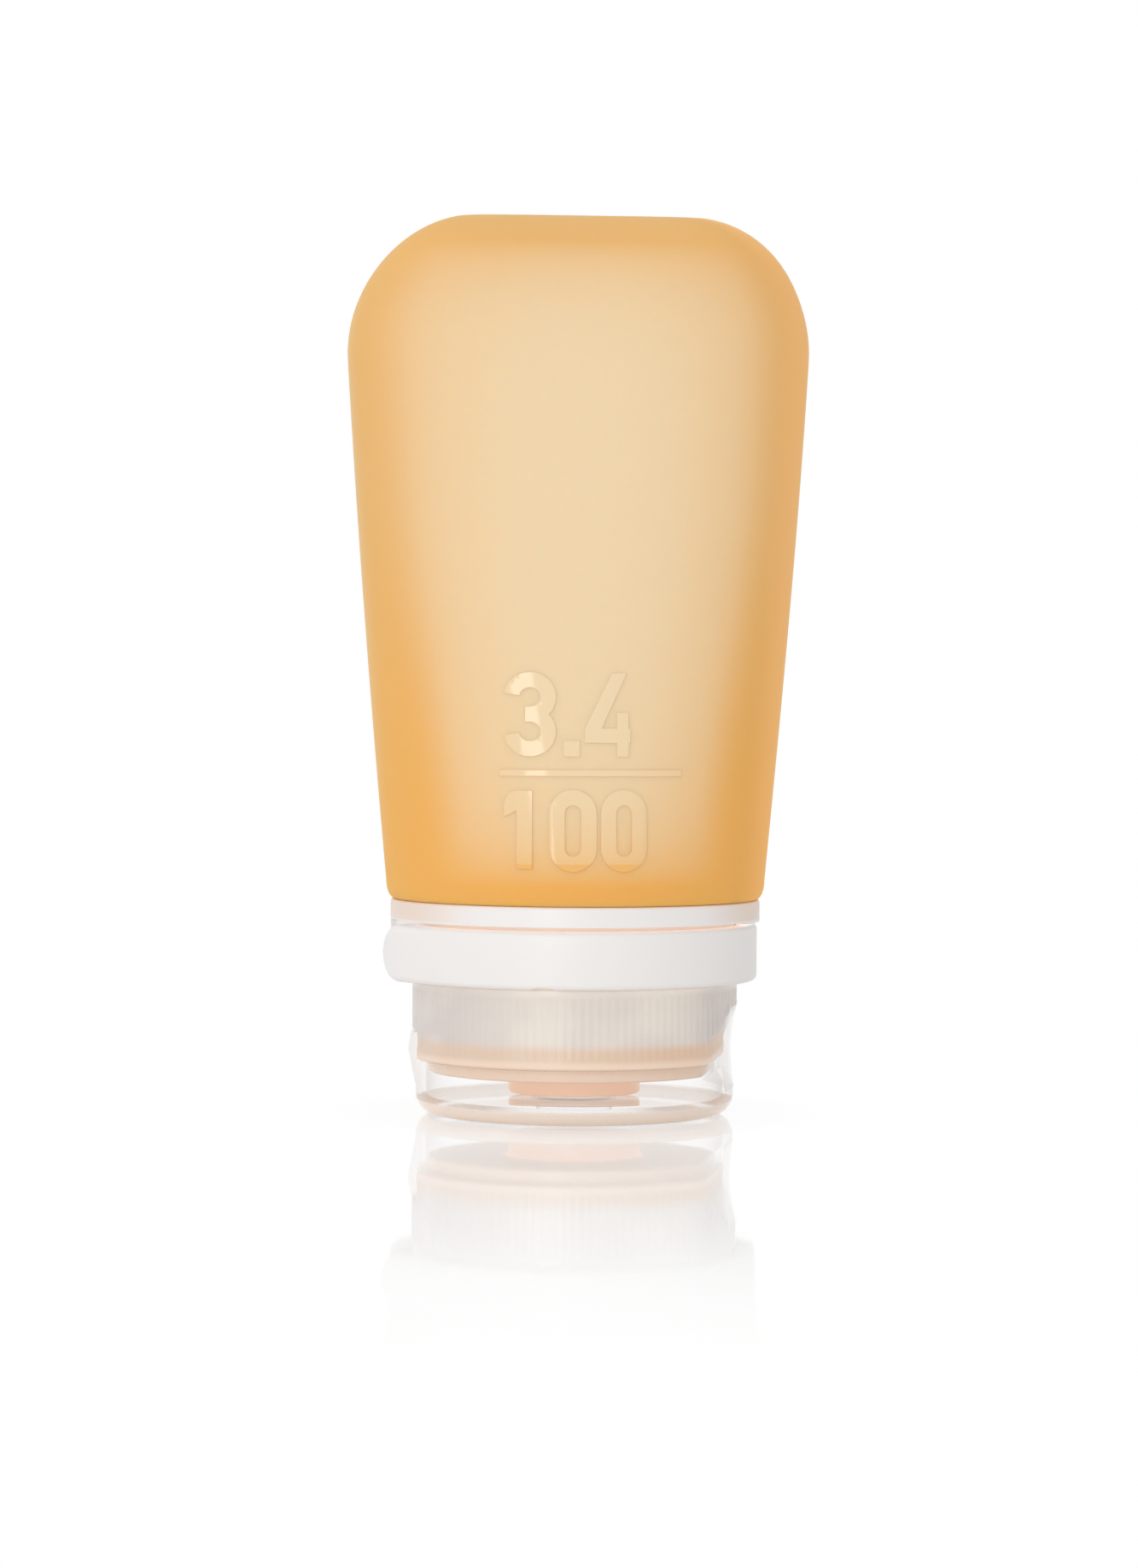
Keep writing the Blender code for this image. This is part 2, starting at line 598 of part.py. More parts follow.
def make_cap_base():
    """The screw cap: threaded wall, deck, spout tower, and the recesses for hinge and tab."""
    spigot = LID_RADIUS - LID_WALL - FACE_GAP
    step_z = NECK_END_Z + NECK_PILOT_LENGTH - NECK_PILOT_INSET - FACE_GAP
    cap = turned("cap_base", [
        (CAP_THREAD_BORE, CAP_TOP_Z, CAP_EDGE_FILLET),
        (CAP_RADIUS, CAP_TOP_Z, CAP_EDGE_FILLET),
        (CAP_RADIUS, CAP_RIM_Z, CAP_EDGE_FILLET),
        (spigot, CAP_RIM_Z),
        (spigot, DECK_OUTER_Z, CAP_EDGE_FILLET),
        (TOWER_RADIUS, DECK_OUTER_Z),
        (TOWER_RADIUS, TOWER_TIP_Z, CAP_EDGE_FILLET),
        (SPOUT_HOLE_RADIUS, TOWER_TIP_Z),
        (SPOUT_HOLE_RADIUS, TOWER_TIP_Z + TOWER_SHELF),
        (TOWER_BORE, TOWER_TIP_Z + TOWER_SHELF),
        (TOWER_BORE, DECK_INNER_Z),
        (CAP_LIP_BORE, DECK_INNER_Z),
        (CAP_LIP_BORE, step_z - FACE_GAP),
        (CAP_THREAD_BORE, step_z)], FROSTED)
    half_turn_phase = -math.pi
    combine(cap, thread("cap_thread", CAP_THREAD_BORE, CAP_THREAD_BORE - THREAD_DEPTH,
                        THREAD_LOW_Z, half_turn_phase), "UNION")
    outside = CAP_RADIUS + CUT_OVERRUN
    low_z = CAP_RIM_Z - CUT_OVERRUN
    tab_gap_angle = FACE_GAP * 2 / CAP_RADIUS
    half = THUMB_TAB_HALF_ANGLE + tab_gap_angle
    tab_recess = sector("tab_recess", box_profile(
        tab_inner_radius() - FACE_GAP, outside, low_z, LID_RIM_Z + THUMB_TAB_LIFT + FACE_GAP),
        THUMB_TAB_ANGLE - half, THUMB_TAB_ANGLE + half)
    combine(cap, tab_recess, "DIFFERENCE")
    recess_reach = HINGE_REACH + HINGE_RELIEF
    slope_z = CAP_RIM_Z + HINGE_FLAT_ABOVE
    slope_rise = (outside - recess_reach) / math.tan(HINGE_SLOPE_ABOVE)
    recess = prism("cap_hinge_recess", [
        (recess_reach, low_z), (recess_reach, slope_z), (outside, slope_z + slope_rise),
        (outside, low_z)], HINGE_ANGLE, hinge_cut_half_width())
    combine(cap, recess, "DIFFERENCE")
    trim_reach = HINGE_REACH - HINGE_FILM_WALL - FACE_GAP
    trim = prism("spigot_trim", [
        (trim_reach, DECK_OUTER_Z - CUT_OVERRUN), (trim_reach, CAP_RIM_Z), (outside, CAP_RIM_Z),
        (outside, DECK_OUTER_Z - CUT_OVERRUN)], HINGE_ANGLE, hinge_cut_half_width())
    return combine(cap, trim, "DIFFERENCE")


def hinge_cut_half_width():
    """Half the width of a cut that runs right across the cap at the hinge."""
    return math.sqrt(CAP_RADIUS ** 2 - (HINGE_REACH - HINGE_FILM_WALL) ** 2) + CUT_OVERRUN


def tab_inner_radius():
    return LID_RADIUS - THUMB_TAB_BULGE + FACE_GAP


def make_spout_valve():
    """The soft valve: a flange held in the spout, and a head with a cross slit."""
    flange_top_z = VALVE_FLANGE_Z + VALVE_FLANGE
    flange_radius = TOWER_BORE - FACE_GAP
    head_z = LID_PLATE + LID_BOSS_HEIGHT + FACE_GAP
    valve = turned("spout_valve", [
        (0, head_z + VALVE_SKIN), (VALVE_BORE, head_z + VALVE_SKIN), (VALVE_BORE, flange_top_z),
        (flange_radius, flange_top_z), (flange_radius, VALVE_FLANGE_Z),
        (VALVE_HEAD_RADIUS, VALVE_FLANGE_Z), (VALVE_HEAD_RADIUS, head_z, VALVE_SKIN / 2),
        (0, head_z)], SILICONE, closed=False)
    for name, angle in (("valve_slit_wide", math.pi / 2), ("valve_slit_deep", 0.0)):
        half_length = VALVE_BORE - VALVE_SLIT_MARGIN
        slit = prism(name, [(-half_length, head_z - VALVE_SKIN), (half_length, head_z - VALVE_SKIN),
                            (half_length, flange_top_z + VALVE_SKIN),
                            (-half_length, flange_top_z + VALVE_SKIN)],
                     angle, VALVE_SLIT_WIDTH / 2)
        combine(valve, slit, "DIFFERENCE")
    return valve


def make_valve_retainer():
    """The stiff ring that holds the valve's flange against the spout's shelf."""
    low_z = VALVE_FLANGE_Z + VALVE_FLANGE + FACE_GAP
    return turned("valve_retainer", box_profile(VALVE_HEAD_RADIUS + FACE_GAP, TOWER_BORE - FACE_GAP,
                                                low_z, low_z + RETAINER_HEIGHT), WHITE)


def make_flip_lid():
    """The clear lid: a shallow cup with a boss that shuts the valve, and a thumb tab."""
    cavity = LID_RADIUS - LID_WALL
    boss_radius = VALVE_HEAD_RADIUS - LID_BOSS_INSET
    lid = turned("flip_lid", [
        (0, LID_PLATE + LID_BOSS_HEIGHT), (boss_radius, LID_PLATE + LID_BOSS_HEIGHT),
        (boss_radius, LID_PLATE), (cavity, LID_PLATE), (cavity, LID_RIM_Z),
        (LID_RADIUS, LID_RIM_Z), (LID_RADIUS, 0, LID_EDGE_FILLET), (0, 0)], CLEAR, closed=False)
    outside = CAP_RADIUS + CUT_OVERRUN
    inner_reach = HINGE_REACH - HINGE_FILM_WALL
    slope_z = LID_RIM_Z - HINGE_FLAT_BELOW
    drop = (outside - HINGE_REACH) / math.tan(HINGE_SLOPE_BELOW)
    block = prism("lid_hinge_block", [
        (inner_reach, LID_RIM_Z), (outside, LID_RIM_Z), (outside, slope_z - drop),
        (inner_reach, slope_z - HINGE_FILM_WALL / 2)], HINGE_ANGLE, hinge_cut_half_width())
    core = post("lid_core", Vector((0, 0, 0)), LID_RADIUS - LID_WALL / 2, LID_PLATE / 2, LID_RIM_Z)
    combine(block, core, "INTERSECT")
    combine(lid, block, "UNION")
    recess = prism("lid_hinge_recess", [
        (HINGE_REACH, LID_RIM_Z + CUT_OVERRUN), (outside, LID_RIM_Z + CUT_OVERRUN),
        (outside, slope_z - drop), (HINGE_REACH, slope_z)], HINGE_ANGLE, hinge_cut_half_width())
    combine(lid, recess, "DIFFERENCE")
    top_z = LID_RIM_Z + THUMB_TAB_LIFT
    inner = tab_inner_radius()
    tab = sector("thumb_tab", [
        (inner, top_z), (inner + THUMB_TAB_THICKNESS * 2 / 3, top_z, THUMB_TAB_BULGE / 2),
        (inner + THUMB_TAB_THICKNESS, LID_RIM_Z + THUMB_TAB_LIFT / 3, THUMB_TAB_LIFT),
        (LID_RADIUS - MERGE_DISTANCE, LID_RIM_Z - THUMB_TAB_DROP), (inner, LID_RIM_Z - THUMB_TAB_DROP)],
        THUMB_TAB_ANGLE - THUMB_TAB_HALF_ANGLE, THUMB_TAB_ANGLE + THUMB_TAB_HALF_ANGLE)
    return combine(lid, tab, "UNION")


def make_hinge_strap():
    """The springy strap that bridges the hinge recess and snaps the lid open or shut."""
    top_reach = CAP_RADIUS
    top_z = CAP_RIM_Z + HINGE_FLAT_ABOVE + (CAP_RADIUS - HINGE_REACH) / math.tan(HINGE_SLOPE_ABOVE)
    low_reach = LID_RADIUS
    low_z = LID_RIM_Z - HINGE_FLAT_BELOW - (LID_RADIUS - HINGE_REACH) / math.tan(HINGE_SLOPE_BELOW)
    rows = 2 * FILLET_STEPS
    inner = []
    for step in range(rows + 1):
        share = step / rows
        bow = SPRING_STRAP_BOW * 4 * share * (1 - share)
        inner.append((low_reach + (top_reach - low_reach) * share + bow,
                      low_z + (top_z - low_z) * share))
    outer = [(reach + SPRING_STRAP_THICKNESS, z) for reach, z in reversed(inner)]
    return prism("hinge_strap", inner + outer, HINGE_ANGLE, SPRING_STRAP_WIDTH / 2, CLEAR)


loop_pivot = pivot("loop_pivot", around(LOOP_PIN_REACH, LOOP_PIN_ANGLE, STRAP_TOP_Z))
cap_lift = pivot("cap_lift", Vector((0, 0, SEAL_Z)))
cap_turn = pivot("cap_turn", Vector((0, 0, 0)))
lid_pivot = pivot("lid_pivot", around(HINGE_REACH, HINGE_ANGLE, LID_HINGE_Z), cap_turn)

make_squeeze_tube()
make_collar()
carry(loop_pivot, make_hang_loop())
carry(cap_lift, make_cap_seal())
carry(cap_turn, make_cap_base(), make_spout_valve(), make_valve_retainer(), make_hinge_strap())
carry(lid_pivot, make_flip_lid())
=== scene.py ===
# The looks of a squeezable travel bottle that stands on its flip lid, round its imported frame.
# Angles round the bottle start at the front, -Y, and grow towards +X, and lengths are in metres.
import json
import math

import bmesh
import bpy
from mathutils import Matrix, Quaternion, Vector


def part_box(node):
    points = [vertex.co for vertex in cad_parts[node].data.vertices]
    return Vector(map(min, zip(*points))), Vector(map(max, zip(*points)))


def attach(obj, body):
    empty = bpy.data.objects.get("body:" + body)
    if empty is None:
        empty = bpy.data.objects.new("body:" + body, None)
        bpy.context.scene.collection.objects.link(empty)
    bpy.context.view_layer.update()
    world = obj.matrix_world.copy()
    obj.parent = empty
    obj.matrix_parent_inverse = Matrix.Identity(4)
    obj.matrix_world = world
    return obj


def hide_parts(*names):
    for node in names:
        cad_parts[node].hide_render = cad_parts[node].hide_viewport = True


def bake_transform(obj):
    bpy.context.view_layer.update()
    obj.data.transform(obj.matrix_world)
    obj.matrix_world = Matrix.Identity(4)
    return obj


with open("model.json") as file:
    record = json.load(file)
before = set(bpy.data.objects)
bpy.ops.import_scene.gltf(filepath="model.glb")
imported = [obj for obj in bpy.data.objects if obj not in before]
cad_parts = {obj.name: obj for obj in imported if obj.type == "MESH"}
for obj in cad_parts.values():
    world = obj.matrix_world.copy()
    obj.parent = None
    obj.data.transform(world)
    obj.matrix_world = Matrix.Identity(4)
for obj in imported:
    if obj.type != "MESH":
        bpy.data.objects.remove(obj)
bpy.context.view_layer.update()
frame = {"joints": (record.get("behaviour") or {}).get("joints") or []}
joints = {joint["name"]: joint for joint in frame["joints"]}

# Collar
# The stiff ring that the soft tube hangs in, with the threaded neck below it. It is injection
# moulded in white polypropylene, and the strap's pocket, pivot ear and pin holes are moulded in.
collar_low, collar_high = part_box("collar")
strap_low, strap_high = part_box("hang_loop")
loop_pin = Vector(joints["loop_hinge"]["pos_m"])
loop_pin_angle = math.atan2(loop_pin.x, -loop_pin.y)
loop_pin_reach = math.hypot(loop_pin.x, loop_pin.y)
face_gap = 0.0003
overrun = 0.002
hair = 0.00001
neck_end_z = collar_low.z
collar_step_z = strap_low.z
collar_top_z = collar_high.z
collar_radius = collar_high.x
neck_bore = 0.0146
neck_root_radius = 0.0157
neck_pilot_length = 0.0012
neck_pilot_inset = 0.0006
collar_socket_radius = 0.0170
collar_wall_radius = 0.0186
collar_floor_z = collar_step_z + 0.0015
collar_fillet = 0.0004
collar_step_fillet = 0.0007
ring_low_z = collar_top_z - 0.0023
strap_top_z = ring_low_z - 0.0005
strap_pocket_start = math.radians(-88.3)
strap_slot_end = math.radians(61.6)
loop_pin_radius = 0.0007
knuckle_radius = 0.0015
knuckle_clearance = 0.0007
ear_z = collar_step_z + 0.0012
thread_pitch = 0.0030
thread_depth = 0.0008
thread_root_width = 0.0011
thread_crest_width = 0.0005
thread_turns = 1.15
thread_fade_share = 0.12
thread_sink = 0.0002
thread_low_z = neck_end_z + neck_pilot_length + 0.0008
white_color = (0.93, 0.905, 0.89)
# The collar's painted light: the colour of its painted glow behind the strap, then the colour of
# its painted warm tint at the rim's narrow sides, and where that tint starts and ends.
slot_glow_color = (0.80, 0.56, 0.42)
painted_rim_tint_color = (0.88, 0.74, 0.64)
painted_rim_tint_start = 0.012
painted_rim_tint_end = 0.0205


def around(radius, angle, z):
    """A point at a radius and an angle from the front."""
    return Vector((radius * math.sin(angle), -radius * math.cos(angle), z))


def rounded(corners, steps=6):
    """Profile points, with an arc at each corner that gives a fillet radius."""
    points = []
    for index, corner in enumerate(corners):
        here = Vector(corner[:2])
        if len(corner) == 2:
            points.append(here)
            continue
        before = (Vector(corners[index - 1][:2]) - here).normalized()
        after = (Vector(corners[(index + 1) % len(corners)][:2]) - here).normalized()
        half_angle = before.angle(after) / 2
        radius = corner[2]
        center = here + (before + after).normalized() * radius / math.sin(half_angle)
        first = (here + before * radius / math.tan(half_angle) - center).normalized()
        last = (here + after * radius / math.tan(half_angle) - center).normalized()
        for step in range(steps + 1):
            points.append(center + first.slerp(last, step / steps) * radius)
    return points


def added(name, data):
    made = bpy.data.objects.new(name, data)
    bpy.context.scene.collection.objects.link(made)
    return made


def solid(name, bm):
    """Turns modelling data into a piece with its faces pointing out."""
    bmesh.ops.recalc_face_normals(bm, faces=bm.faces)
    mesh = bpy.data.meshes.new(name)
    bm.to_mesh(mesh)
    bm.free()
    return added(name, mesh)


def turned(name, corners, steps=144, closed=True):
    """A profile in radius and height, turned round the bottle's axis."""
    bm = bmesh.new()
    verts = [bm.verts.new((0, -radius, z)) for radius, z in rounded(corners)]
    edges = [bm.edges.new(pair) for pair in zip(verts, verts[1:])]
    if closed:
        edges.append(bm.edges.new((verts[-1], verts[0])))
    bmesh.ops.spin(bm, geom=verts + edges, cent=(0, 0, 0), axis=(0, 0, 1), angle=math.tau,
                   steps=steps, use_merge=True)
    bmesh.ops.remove_doubles(bm, verts=bm.verts, dist=0.000001)
    return solid(name, bm)


def sector(name, corners, start, end, steps_per_turn=144):
    """A profile in radius and height, swept round the axis from one angle to another."""
    bm = bmesh.new()
    face = bm.faces.new([bm.verts.new(around(radius, start, z)) for radius, z in rounded(corners)])
    steps = max(2, round(steps_per_turn * abs(end - start) / math.tau))
    bmesh.ops.spin(bm, geom=[face, *face.edges, *face.verts], cent=(0, 0, 0), axis=(0, 0, 1),
                   angle=end - start, steps=steps)
    return solid(name, bm)


def box_profile(inner, outer, low, high, *fillet):
    """An oblong, with the fillet at all four corners if one is given."""
    corners = (inner, high), (outer, high), (outer, low), (inner, low)
    return [(*corner, *fillet) for corner in corners]


def post(name, center, radius, low, high):
    """An upright round bar between two heights."""
    bm = bmesh.new()
    bmesh.ops.create_cone(bm, cap_ends=True, segments=48, radius1=radius, radius2=radius,
                          depth=high - low)
    bmesh.ops.translate(bm, verts=bm.verts, vec=(center.x, center.y, (low + high) / 2))
    return solid(name, bm)


def skin(bm, rings):
    """Joins rings of points, each to the next, and gives back the rings and the faces."""
    rows = [[bm.verts.new(point) for point in ring] for ring in rings]
    faces = []
    for row, following in zip(rows, rows[1:]):
        for index in range(len(row)):
            beyond = (index + 1) % len(row)
            corners = row[index], row[beyond], following[beyond], following[index]
            faces.append(bm.faces.new(corners))
    return rows, faces


def lofted(name, rings):
    """A solid through rings of points, filled at its first ring and its last."""
    bm = bmesh.new()
    rows = skin(bm, rings)[0]
    bm.faces.new(rows[0])
    bm.faces.new(rows[-1])
    return solid(name, bm)


def combine(piece, tool, operation="DIFFERENCE"):
    """Cuts a piece with a tool, or joins the tool to it, and throws the tool away."""
    step = piece.modifiers.new(tool.name, "BOOLEAN")
    step.operation = operation
    step.solver = "EXACT"
    step.object = tool
    bpy.context.view_layer.update()
    worked = piece.evaluated_get(bpy.context.evaluated_depsgraph_get())
    result = bpy.data.meshes.new_from_object(worked)
    piece.modifiers.clear()
    piece.data = result
    bpy.data.objects.remove(tool)
    return piece


def thread(name, wall_radius, crest_radius, turn_start):
    """A right-handed screw thread that fades out at both ends."""
    root = wall_radius + math.copysign(thread_sink, wall_radius - crest_radius)
    rings = []
    count = round(96 * thread_turns)
    for step in range(count + 1):
        share = step / count
        height = min(1.0, share / thread_fade_share, (1 - share) / thread_fade_share)
        crest = root + (crest_radius - root) * max(0.1, height)
        z = thread_low_z + thread_pitch * thread_turns * share
        turn = turn_start + math.tau * thread_turns * share
        rings.append([around(root, turn, z - thread_root_width / 2),
                      around(crest, turn, z - thread_crest_width / 2),
                      around(crest, turn, z + thread_crest_width / 2),
                      around(root, turn, z + thread_root_width / 2)])
    return lofted(name, rings)


class Reading:
    """A value that varies over a surface, so that sums with it add their Math nodes."""

    def __init__(self, finish, socket):
        self.finish = finish
        self.socket = socket

    def sum(self, operation, first, second):
        return self.finish.node("ShaderNodeMath", {"operation": operation}, {0: first, 1: second})

    def __add__(self, other):
        return self.sum("ADD", self, other)

    def __sub__(self, other):
        return self.sum("SUBTRACT", self, other)

    def __mul__(self, other):
        return self.sum("MULTIPLY", self, other)

    def __truediv__(self, other):
        return self.sum("DIVIDE", self, other)

    def __pow__(self, other):
        return self.sum("POWER", self, other)

    def __rsub__(self, other):
        return self.sum("SUBTRACT", other, self)

    def __rpow__(self, other):
        return self.sum("POWER", other, self)

    def __rtruediv__(self, other):
        return self.sum("DIVIDE", other, self)

    __radd__ = __add__
    __rmul__ = __mul__

    def __abs__(self):
        return self.sum("ABSOLUTE", self, 0.0)

    def at_least(self, other):
        return self.sum("MAXIMUM", self, other)

    def at_most(self, other):
        return self.sum("MINIMUM", self, other)


class Finish:
    """The main shader of a material, or of the daylight, and the nodes that feed it."""

    def __init__(self, name, library=bpy.data.materials, shader="Principled BSDF"):
        self.owner = library.new(name)
        self.owner.use_nodes = True
        self.tree = self.owner.node_tree
        self.shader = self.tree.nodes[shader]

    def node(self, kind, settings=None, inputs=None, output=0):
        """Adds a node of any type: its settings first, then the values or links of its sockets."""
        made = self.tree.nodes.new(kind)
        for name, value in (settings or {}).items():
            setattr(made, name, value)
        for name, value in (inputs or {}).items():
            self.plug(made.inputs[name], value)
        return Reading(self, made.outputs[output])

    def plug(self, socket, value):
        if isinstance(value, Reading):
            self.tree.links.new(value.socket, socket)
        elif isinstance(value, tuple) and socket.type == "RGBA":
            socket.default_value = (*value, 1.0)
        else:
            socket.default_value = value

    def place(self):
        """Where the surface is, in the bottle's own frame."""
        return self.node("ShaderNodeTexCoord", output="Object")

    def axes(self):
        """The surface's place along X, Y and Z."""
        split = self.node("ShaderNodeSeparateXYZ", inputs={0: self.place()}).socket.node
        return [Reading(self, output) for output in split.outputs]

    def grain(self, size, detail=2.0, stretch=(1.0, 1.0, 1.0)):
        """Fine noise from 0 to 1, whose grains have a real size."""
        place = self.node("ShaderNodeVectorMath", {"operation": "MULTIPLY"},
                          {0: self.place(), 1: stretch})
        return self.node("ShaderNodeTexNoise",
                         inputs={"Vector": place, "Scale": 1 / size, "Detail": detail})

    def ramp(self, value, low, high, at_low=0.0, at_high=1.0):
        """Eases from one level to another as a value runs between two ends."""
        return self.node("ShaderNodeMapRange", {"interpolation_type": "SMOOTHSTEP"},
                         {"Value": value, "From Min": low, "From Max": high,
                          "To Min": at_low, "To Max": at_high})

    def blend(self, share, first, second):
        """One colour turning into another."""
        return self.node("ShaderNodeMix", {"data_type": "RGBA"}, {0: share, 6: first, 7: second},
                         output=2)

    def relief(self, height, depth, strength=1.0):
        """A bump whose full height is a real depth."""
        return self.node("ShaderNodeBump", inputs={"Height": height, "Distance": depth,
                                                   "Strength": strength})

    def paint(self, **sockets):
        """Sets the main shader's sockets, and gives what it belongs to."""
        for name, value in sockets.items():
            self.plug(self.shader.inputs[name.replace("_", " ")], value)
        return self.owner


def white_plastic():
    """White polypropylene from a spark-eroded mould: a fine satin grain, barely uneven in tone.
    The amber silicone's light through the collar's thin places is painted: a painted warm tint on
    the rim at the bottle's two narrow sides, and a painted glow behind the strap and at its
    pocket's foot."""
    finish = Finish("white_plastic")
    x, y, z = finish.axes()
    radius = (x * x + y * y) ** 0.5
    inward = finish.ramp(radius, collar_radius - 0.0004, collar_radius - 0.0010)
    cloud = finish.grain(0.006, 3.0)
    sand = finish.grain(0.00012, 1.0)
    tone = finish.blend(cloud, tuple(0.975 * share for share in white_color), white_color)
    # Painted glow: the rim is tinted warm towards the bottle's two narrow sides, as if amber light
    # came through it.
    painted_rim_tint = finish.ramp(z, ring_low_z, ring_low_z + 0.0003)
    painted_rim_tint = painted_rim_tint * finish.ramp(abs(x), painted_rim_tint_start, painted_rim_tint_end)
    tone = finish.blend(painted_rim_tint, tone, painted_rim_tint_color)
    # Painted glow: an emission lights the wall behind the strap's slot and the foot of its pocket,
    # peach in the middle and white at the narrow ends, in place of light coming through and to
    # lift the shade there.
    painted_slot_glow = inward * finish.ramp(z, strap_top_z - 0.0006, strap_top_z - 0.0001)
    painted_slot_glow = painted_slot_glow * finish.ramp(z, ring_low_z + 0.0002, ring_low_z + 0.0001)
    foot = finish.ramp(radius, collar_wall_radius + 0.0003, collar_wall_radius + 0.0001)
    foot = foot * finish.ramp(z, collar_step_z - 0.0001, collar_step_z)
    foot = foot * finish.ramp(z, collar_step_z + 0.0012, collar_step_z + 0.0007)
    behind = (painted_slot_glow + foot).at_most(1.0)
    to_end = finish.ramp(abs(x), collar_wall_radius - 0.0006, collar_wall_radius + 0.0006)
    painted_glow_tone = finish.blend(to_end, slot_glow_color, white_color)
    return finish.paint(Base_Color=tone, Roughness=0.34 + 0.10 * cloud,
                        Normal=finish.relief(sand, 0.000004, 0.5),
                        Emission_Color=finish.blend(behind, (0.0, 0.0, 0.0), painted_glow_tone),
                        Emission_Strength=0.24, Subsurface_Weight=0.25, Subsurface_Scale=0.0006,
                        Subsurface_Radius=(1.0, 0.85, 0.75), IOR=1.49)


def dress(piece, material, sharp_angle=32):
    """Gives a finished shape its material and its smooth shading."""
    piece.data.materials.clear()
    piece.data.materials.append(material)
    piece.data.shade_smooth()
    piece.data.set_sharp_from_angle(angle=math.radians(sharp_angle))
    return piece


neck_pilot_radius = neck_root_radius - neck_pilot_inset
neck_pilot_z = neck_end_z + neck_pilot_length
collar = turned("collar_moulding", [
    (collar_socket_radius, collar_top_z, collar_fillet / 2),
    (collar_radius, collar_top_z, collar_fillet),
    (collar_radius, collar_step_z, collar_step_fillet),
    (neck_root_radius, collar_step_z),
    (neck_root_radius, neck_pilot_z),
    (neck_pilot_radius, neck_pilot_z - neck_pilot_inset),
    (neck_pilot_radius, neck_end_z, collar_fillet / 2),
    (neck_bore, neck_end_z, collar_fillet / 2),
    (neck_bore, collar_floor_z),
    (collar_socket_radius, collar_floor_z)])
combine(collar, thread("neck_thread", neck_root_radius, neck_root_radius + thread_depth, 0.0),
        "UNION")
for start, end, high in ((strap_pocket_start, strap_slot_end, ring_low_z),
                         (strap_slot_end - face_gap / collar_radius, loop_pin_angle,
                          strap_top_z + face_gap)):
    combine(collar, sector("strap_pocket", box_profile(
        collar_wall_radius, collar_radius + overrun, collar_step_z - overrun, high), start, end))
combine(collar, post("knuckle_pocket", loop_pin, knuckle_radius + knuckle_clearance, ear_z,
                     strap_top_z + face_gap))
combine(collar, post("hinge_ear", loop_pin, collar_radius - loop_pin_reach, collar_step_z, ear_z),
        "UNION")
combine(collar, post("pin_hole", loop_pin, loop_pin_radius + face_gap, collar_step_z - overrun,
                     strap_high.z + face_gap))
white = white_plastic()
dress(collar, white)
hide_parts("collar")
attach(collar, "bottle")

# Soft tube
# The squeezable body, compression moulded in amber silicone about 2 mm thick. It hangs through
# the collar and folds a lip over the neck's end; the daylight that glows through its frosted
# skin is painted into its colour.
tube_low, tube_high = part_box("squeeze_tube")
tube_end_z = tube_high.z
tube_seat_z = collar_top_z + 0.00005
tube_wall = 0.0020
tube_shoulder_radius = collar_radius + 0.00055
tube_shoulder_inset = 0.0009
tube_shoulder_rise = 0.0022
tube_half_width = tube_high.x
tube_half_depth = 0.0165
tube_side_bow = 0.00025
tube_face_bow = 0.0004
tube_corner_radius_wide = 0.01565
tube_corner_radius_deep = 0.0090
tube_end_inset_wide = 0.0117
tube_end_inset_deep = 0.0071
tube_lead_wide = math.radians(-3.6)
tube_lead_deep = math.radians(4.7)
tube_roundness_shares = (2.0, 2.7, 6.0)
tube_crowding_share = 0.78
tube_neck_radius = neck_bore - face_gap
tube_wide_neck_radius = collar_socket_radius - face_gap
tube_lip_radius = 0.0150
tube_lip_top_z = tube_low.z + 0.0014
tube_sides = 144
tube_face_rows = 48
tube_corner_rows = 28
tube_shoulder_rows = 6
tube_lip_fillet = 0.00045
tube_mouth_fillet = 0.0005
# Where the tube's painted glow lies: a small shift sideways, a faint band down the narrow sides, a
# narrower glow towards the bottom, and fading towards the flat end and the shoulder.
glow_shift = 0.0010
side_glow_reach = 0.0085
low_glow_height = 0.050
end_glow_start = 0.0032
end_glow_length = 0.0042
shoulder_glow_start = 0.0022
shoulder_glow_length = 0.0050
# The tube's painted glow colour where its walls face the light, its deep amber at the edges and
# lower down, the colour of its painted edge emission and the strength of its painted emission.
painted_glow_pale_color = (0.832, 0.660, 0.423)
amber_color = (0.780, 0.450, 0.155)
amber_low_color = (0.830, 0.432, 0.108)
painted_edge_glow_color = (2.0, 0.95, 0.40)
painted_glow_strength = 0.10


def corner_center_z(radius, end_inset):
    return tube_end_z - math.sqrt(radius ** 2 - (radius - end_inset) ** 2)


tube_wide_z = corner_center_z(tube_corner_radius_wide, tube_end_inset_wide)


def tube_reach(z, widest, radius, end_inset, lead, bow, inset):
    """Half the tube's size at a height: a bowed side, then the rounded corner of the end."""
    center_z = corner_center_z(radius, end_inset)
    low_z = tube_seat_z + tube_shoulder_rise
    high_z = center_z + radius * math.sin(lead)

    def corner(height):
        drop = max(0.0, (radius - inset) ** 2 - (height - center_z) ** 2)
        return widest - radius + math.sqrt(drop)

    if z >= high_z:
        return corner(z)
    share = (z - low_z) / (high_z - low_z)
    foot = tube_shoulder_radius - inset
    return foot + (corner(high_z) - foot) * share + bow * 4 * share * (1 - share)


def tube_size(z, inset=0.0):
    """Half width and half depth of the tube's outside at a height, or of its inside."""
    return (tube_reach(z, tube_half_width, tube_corner_radius_wide, tube_end_inset_wide,
                       tube_lead_wide, tube_side_bow, inset),
            tube_reach(z, tube_half_depth, tube_corner_radius_deep, tube_end_inset_deep,
                       tube_lead_deep, tube_face_bow, inset))


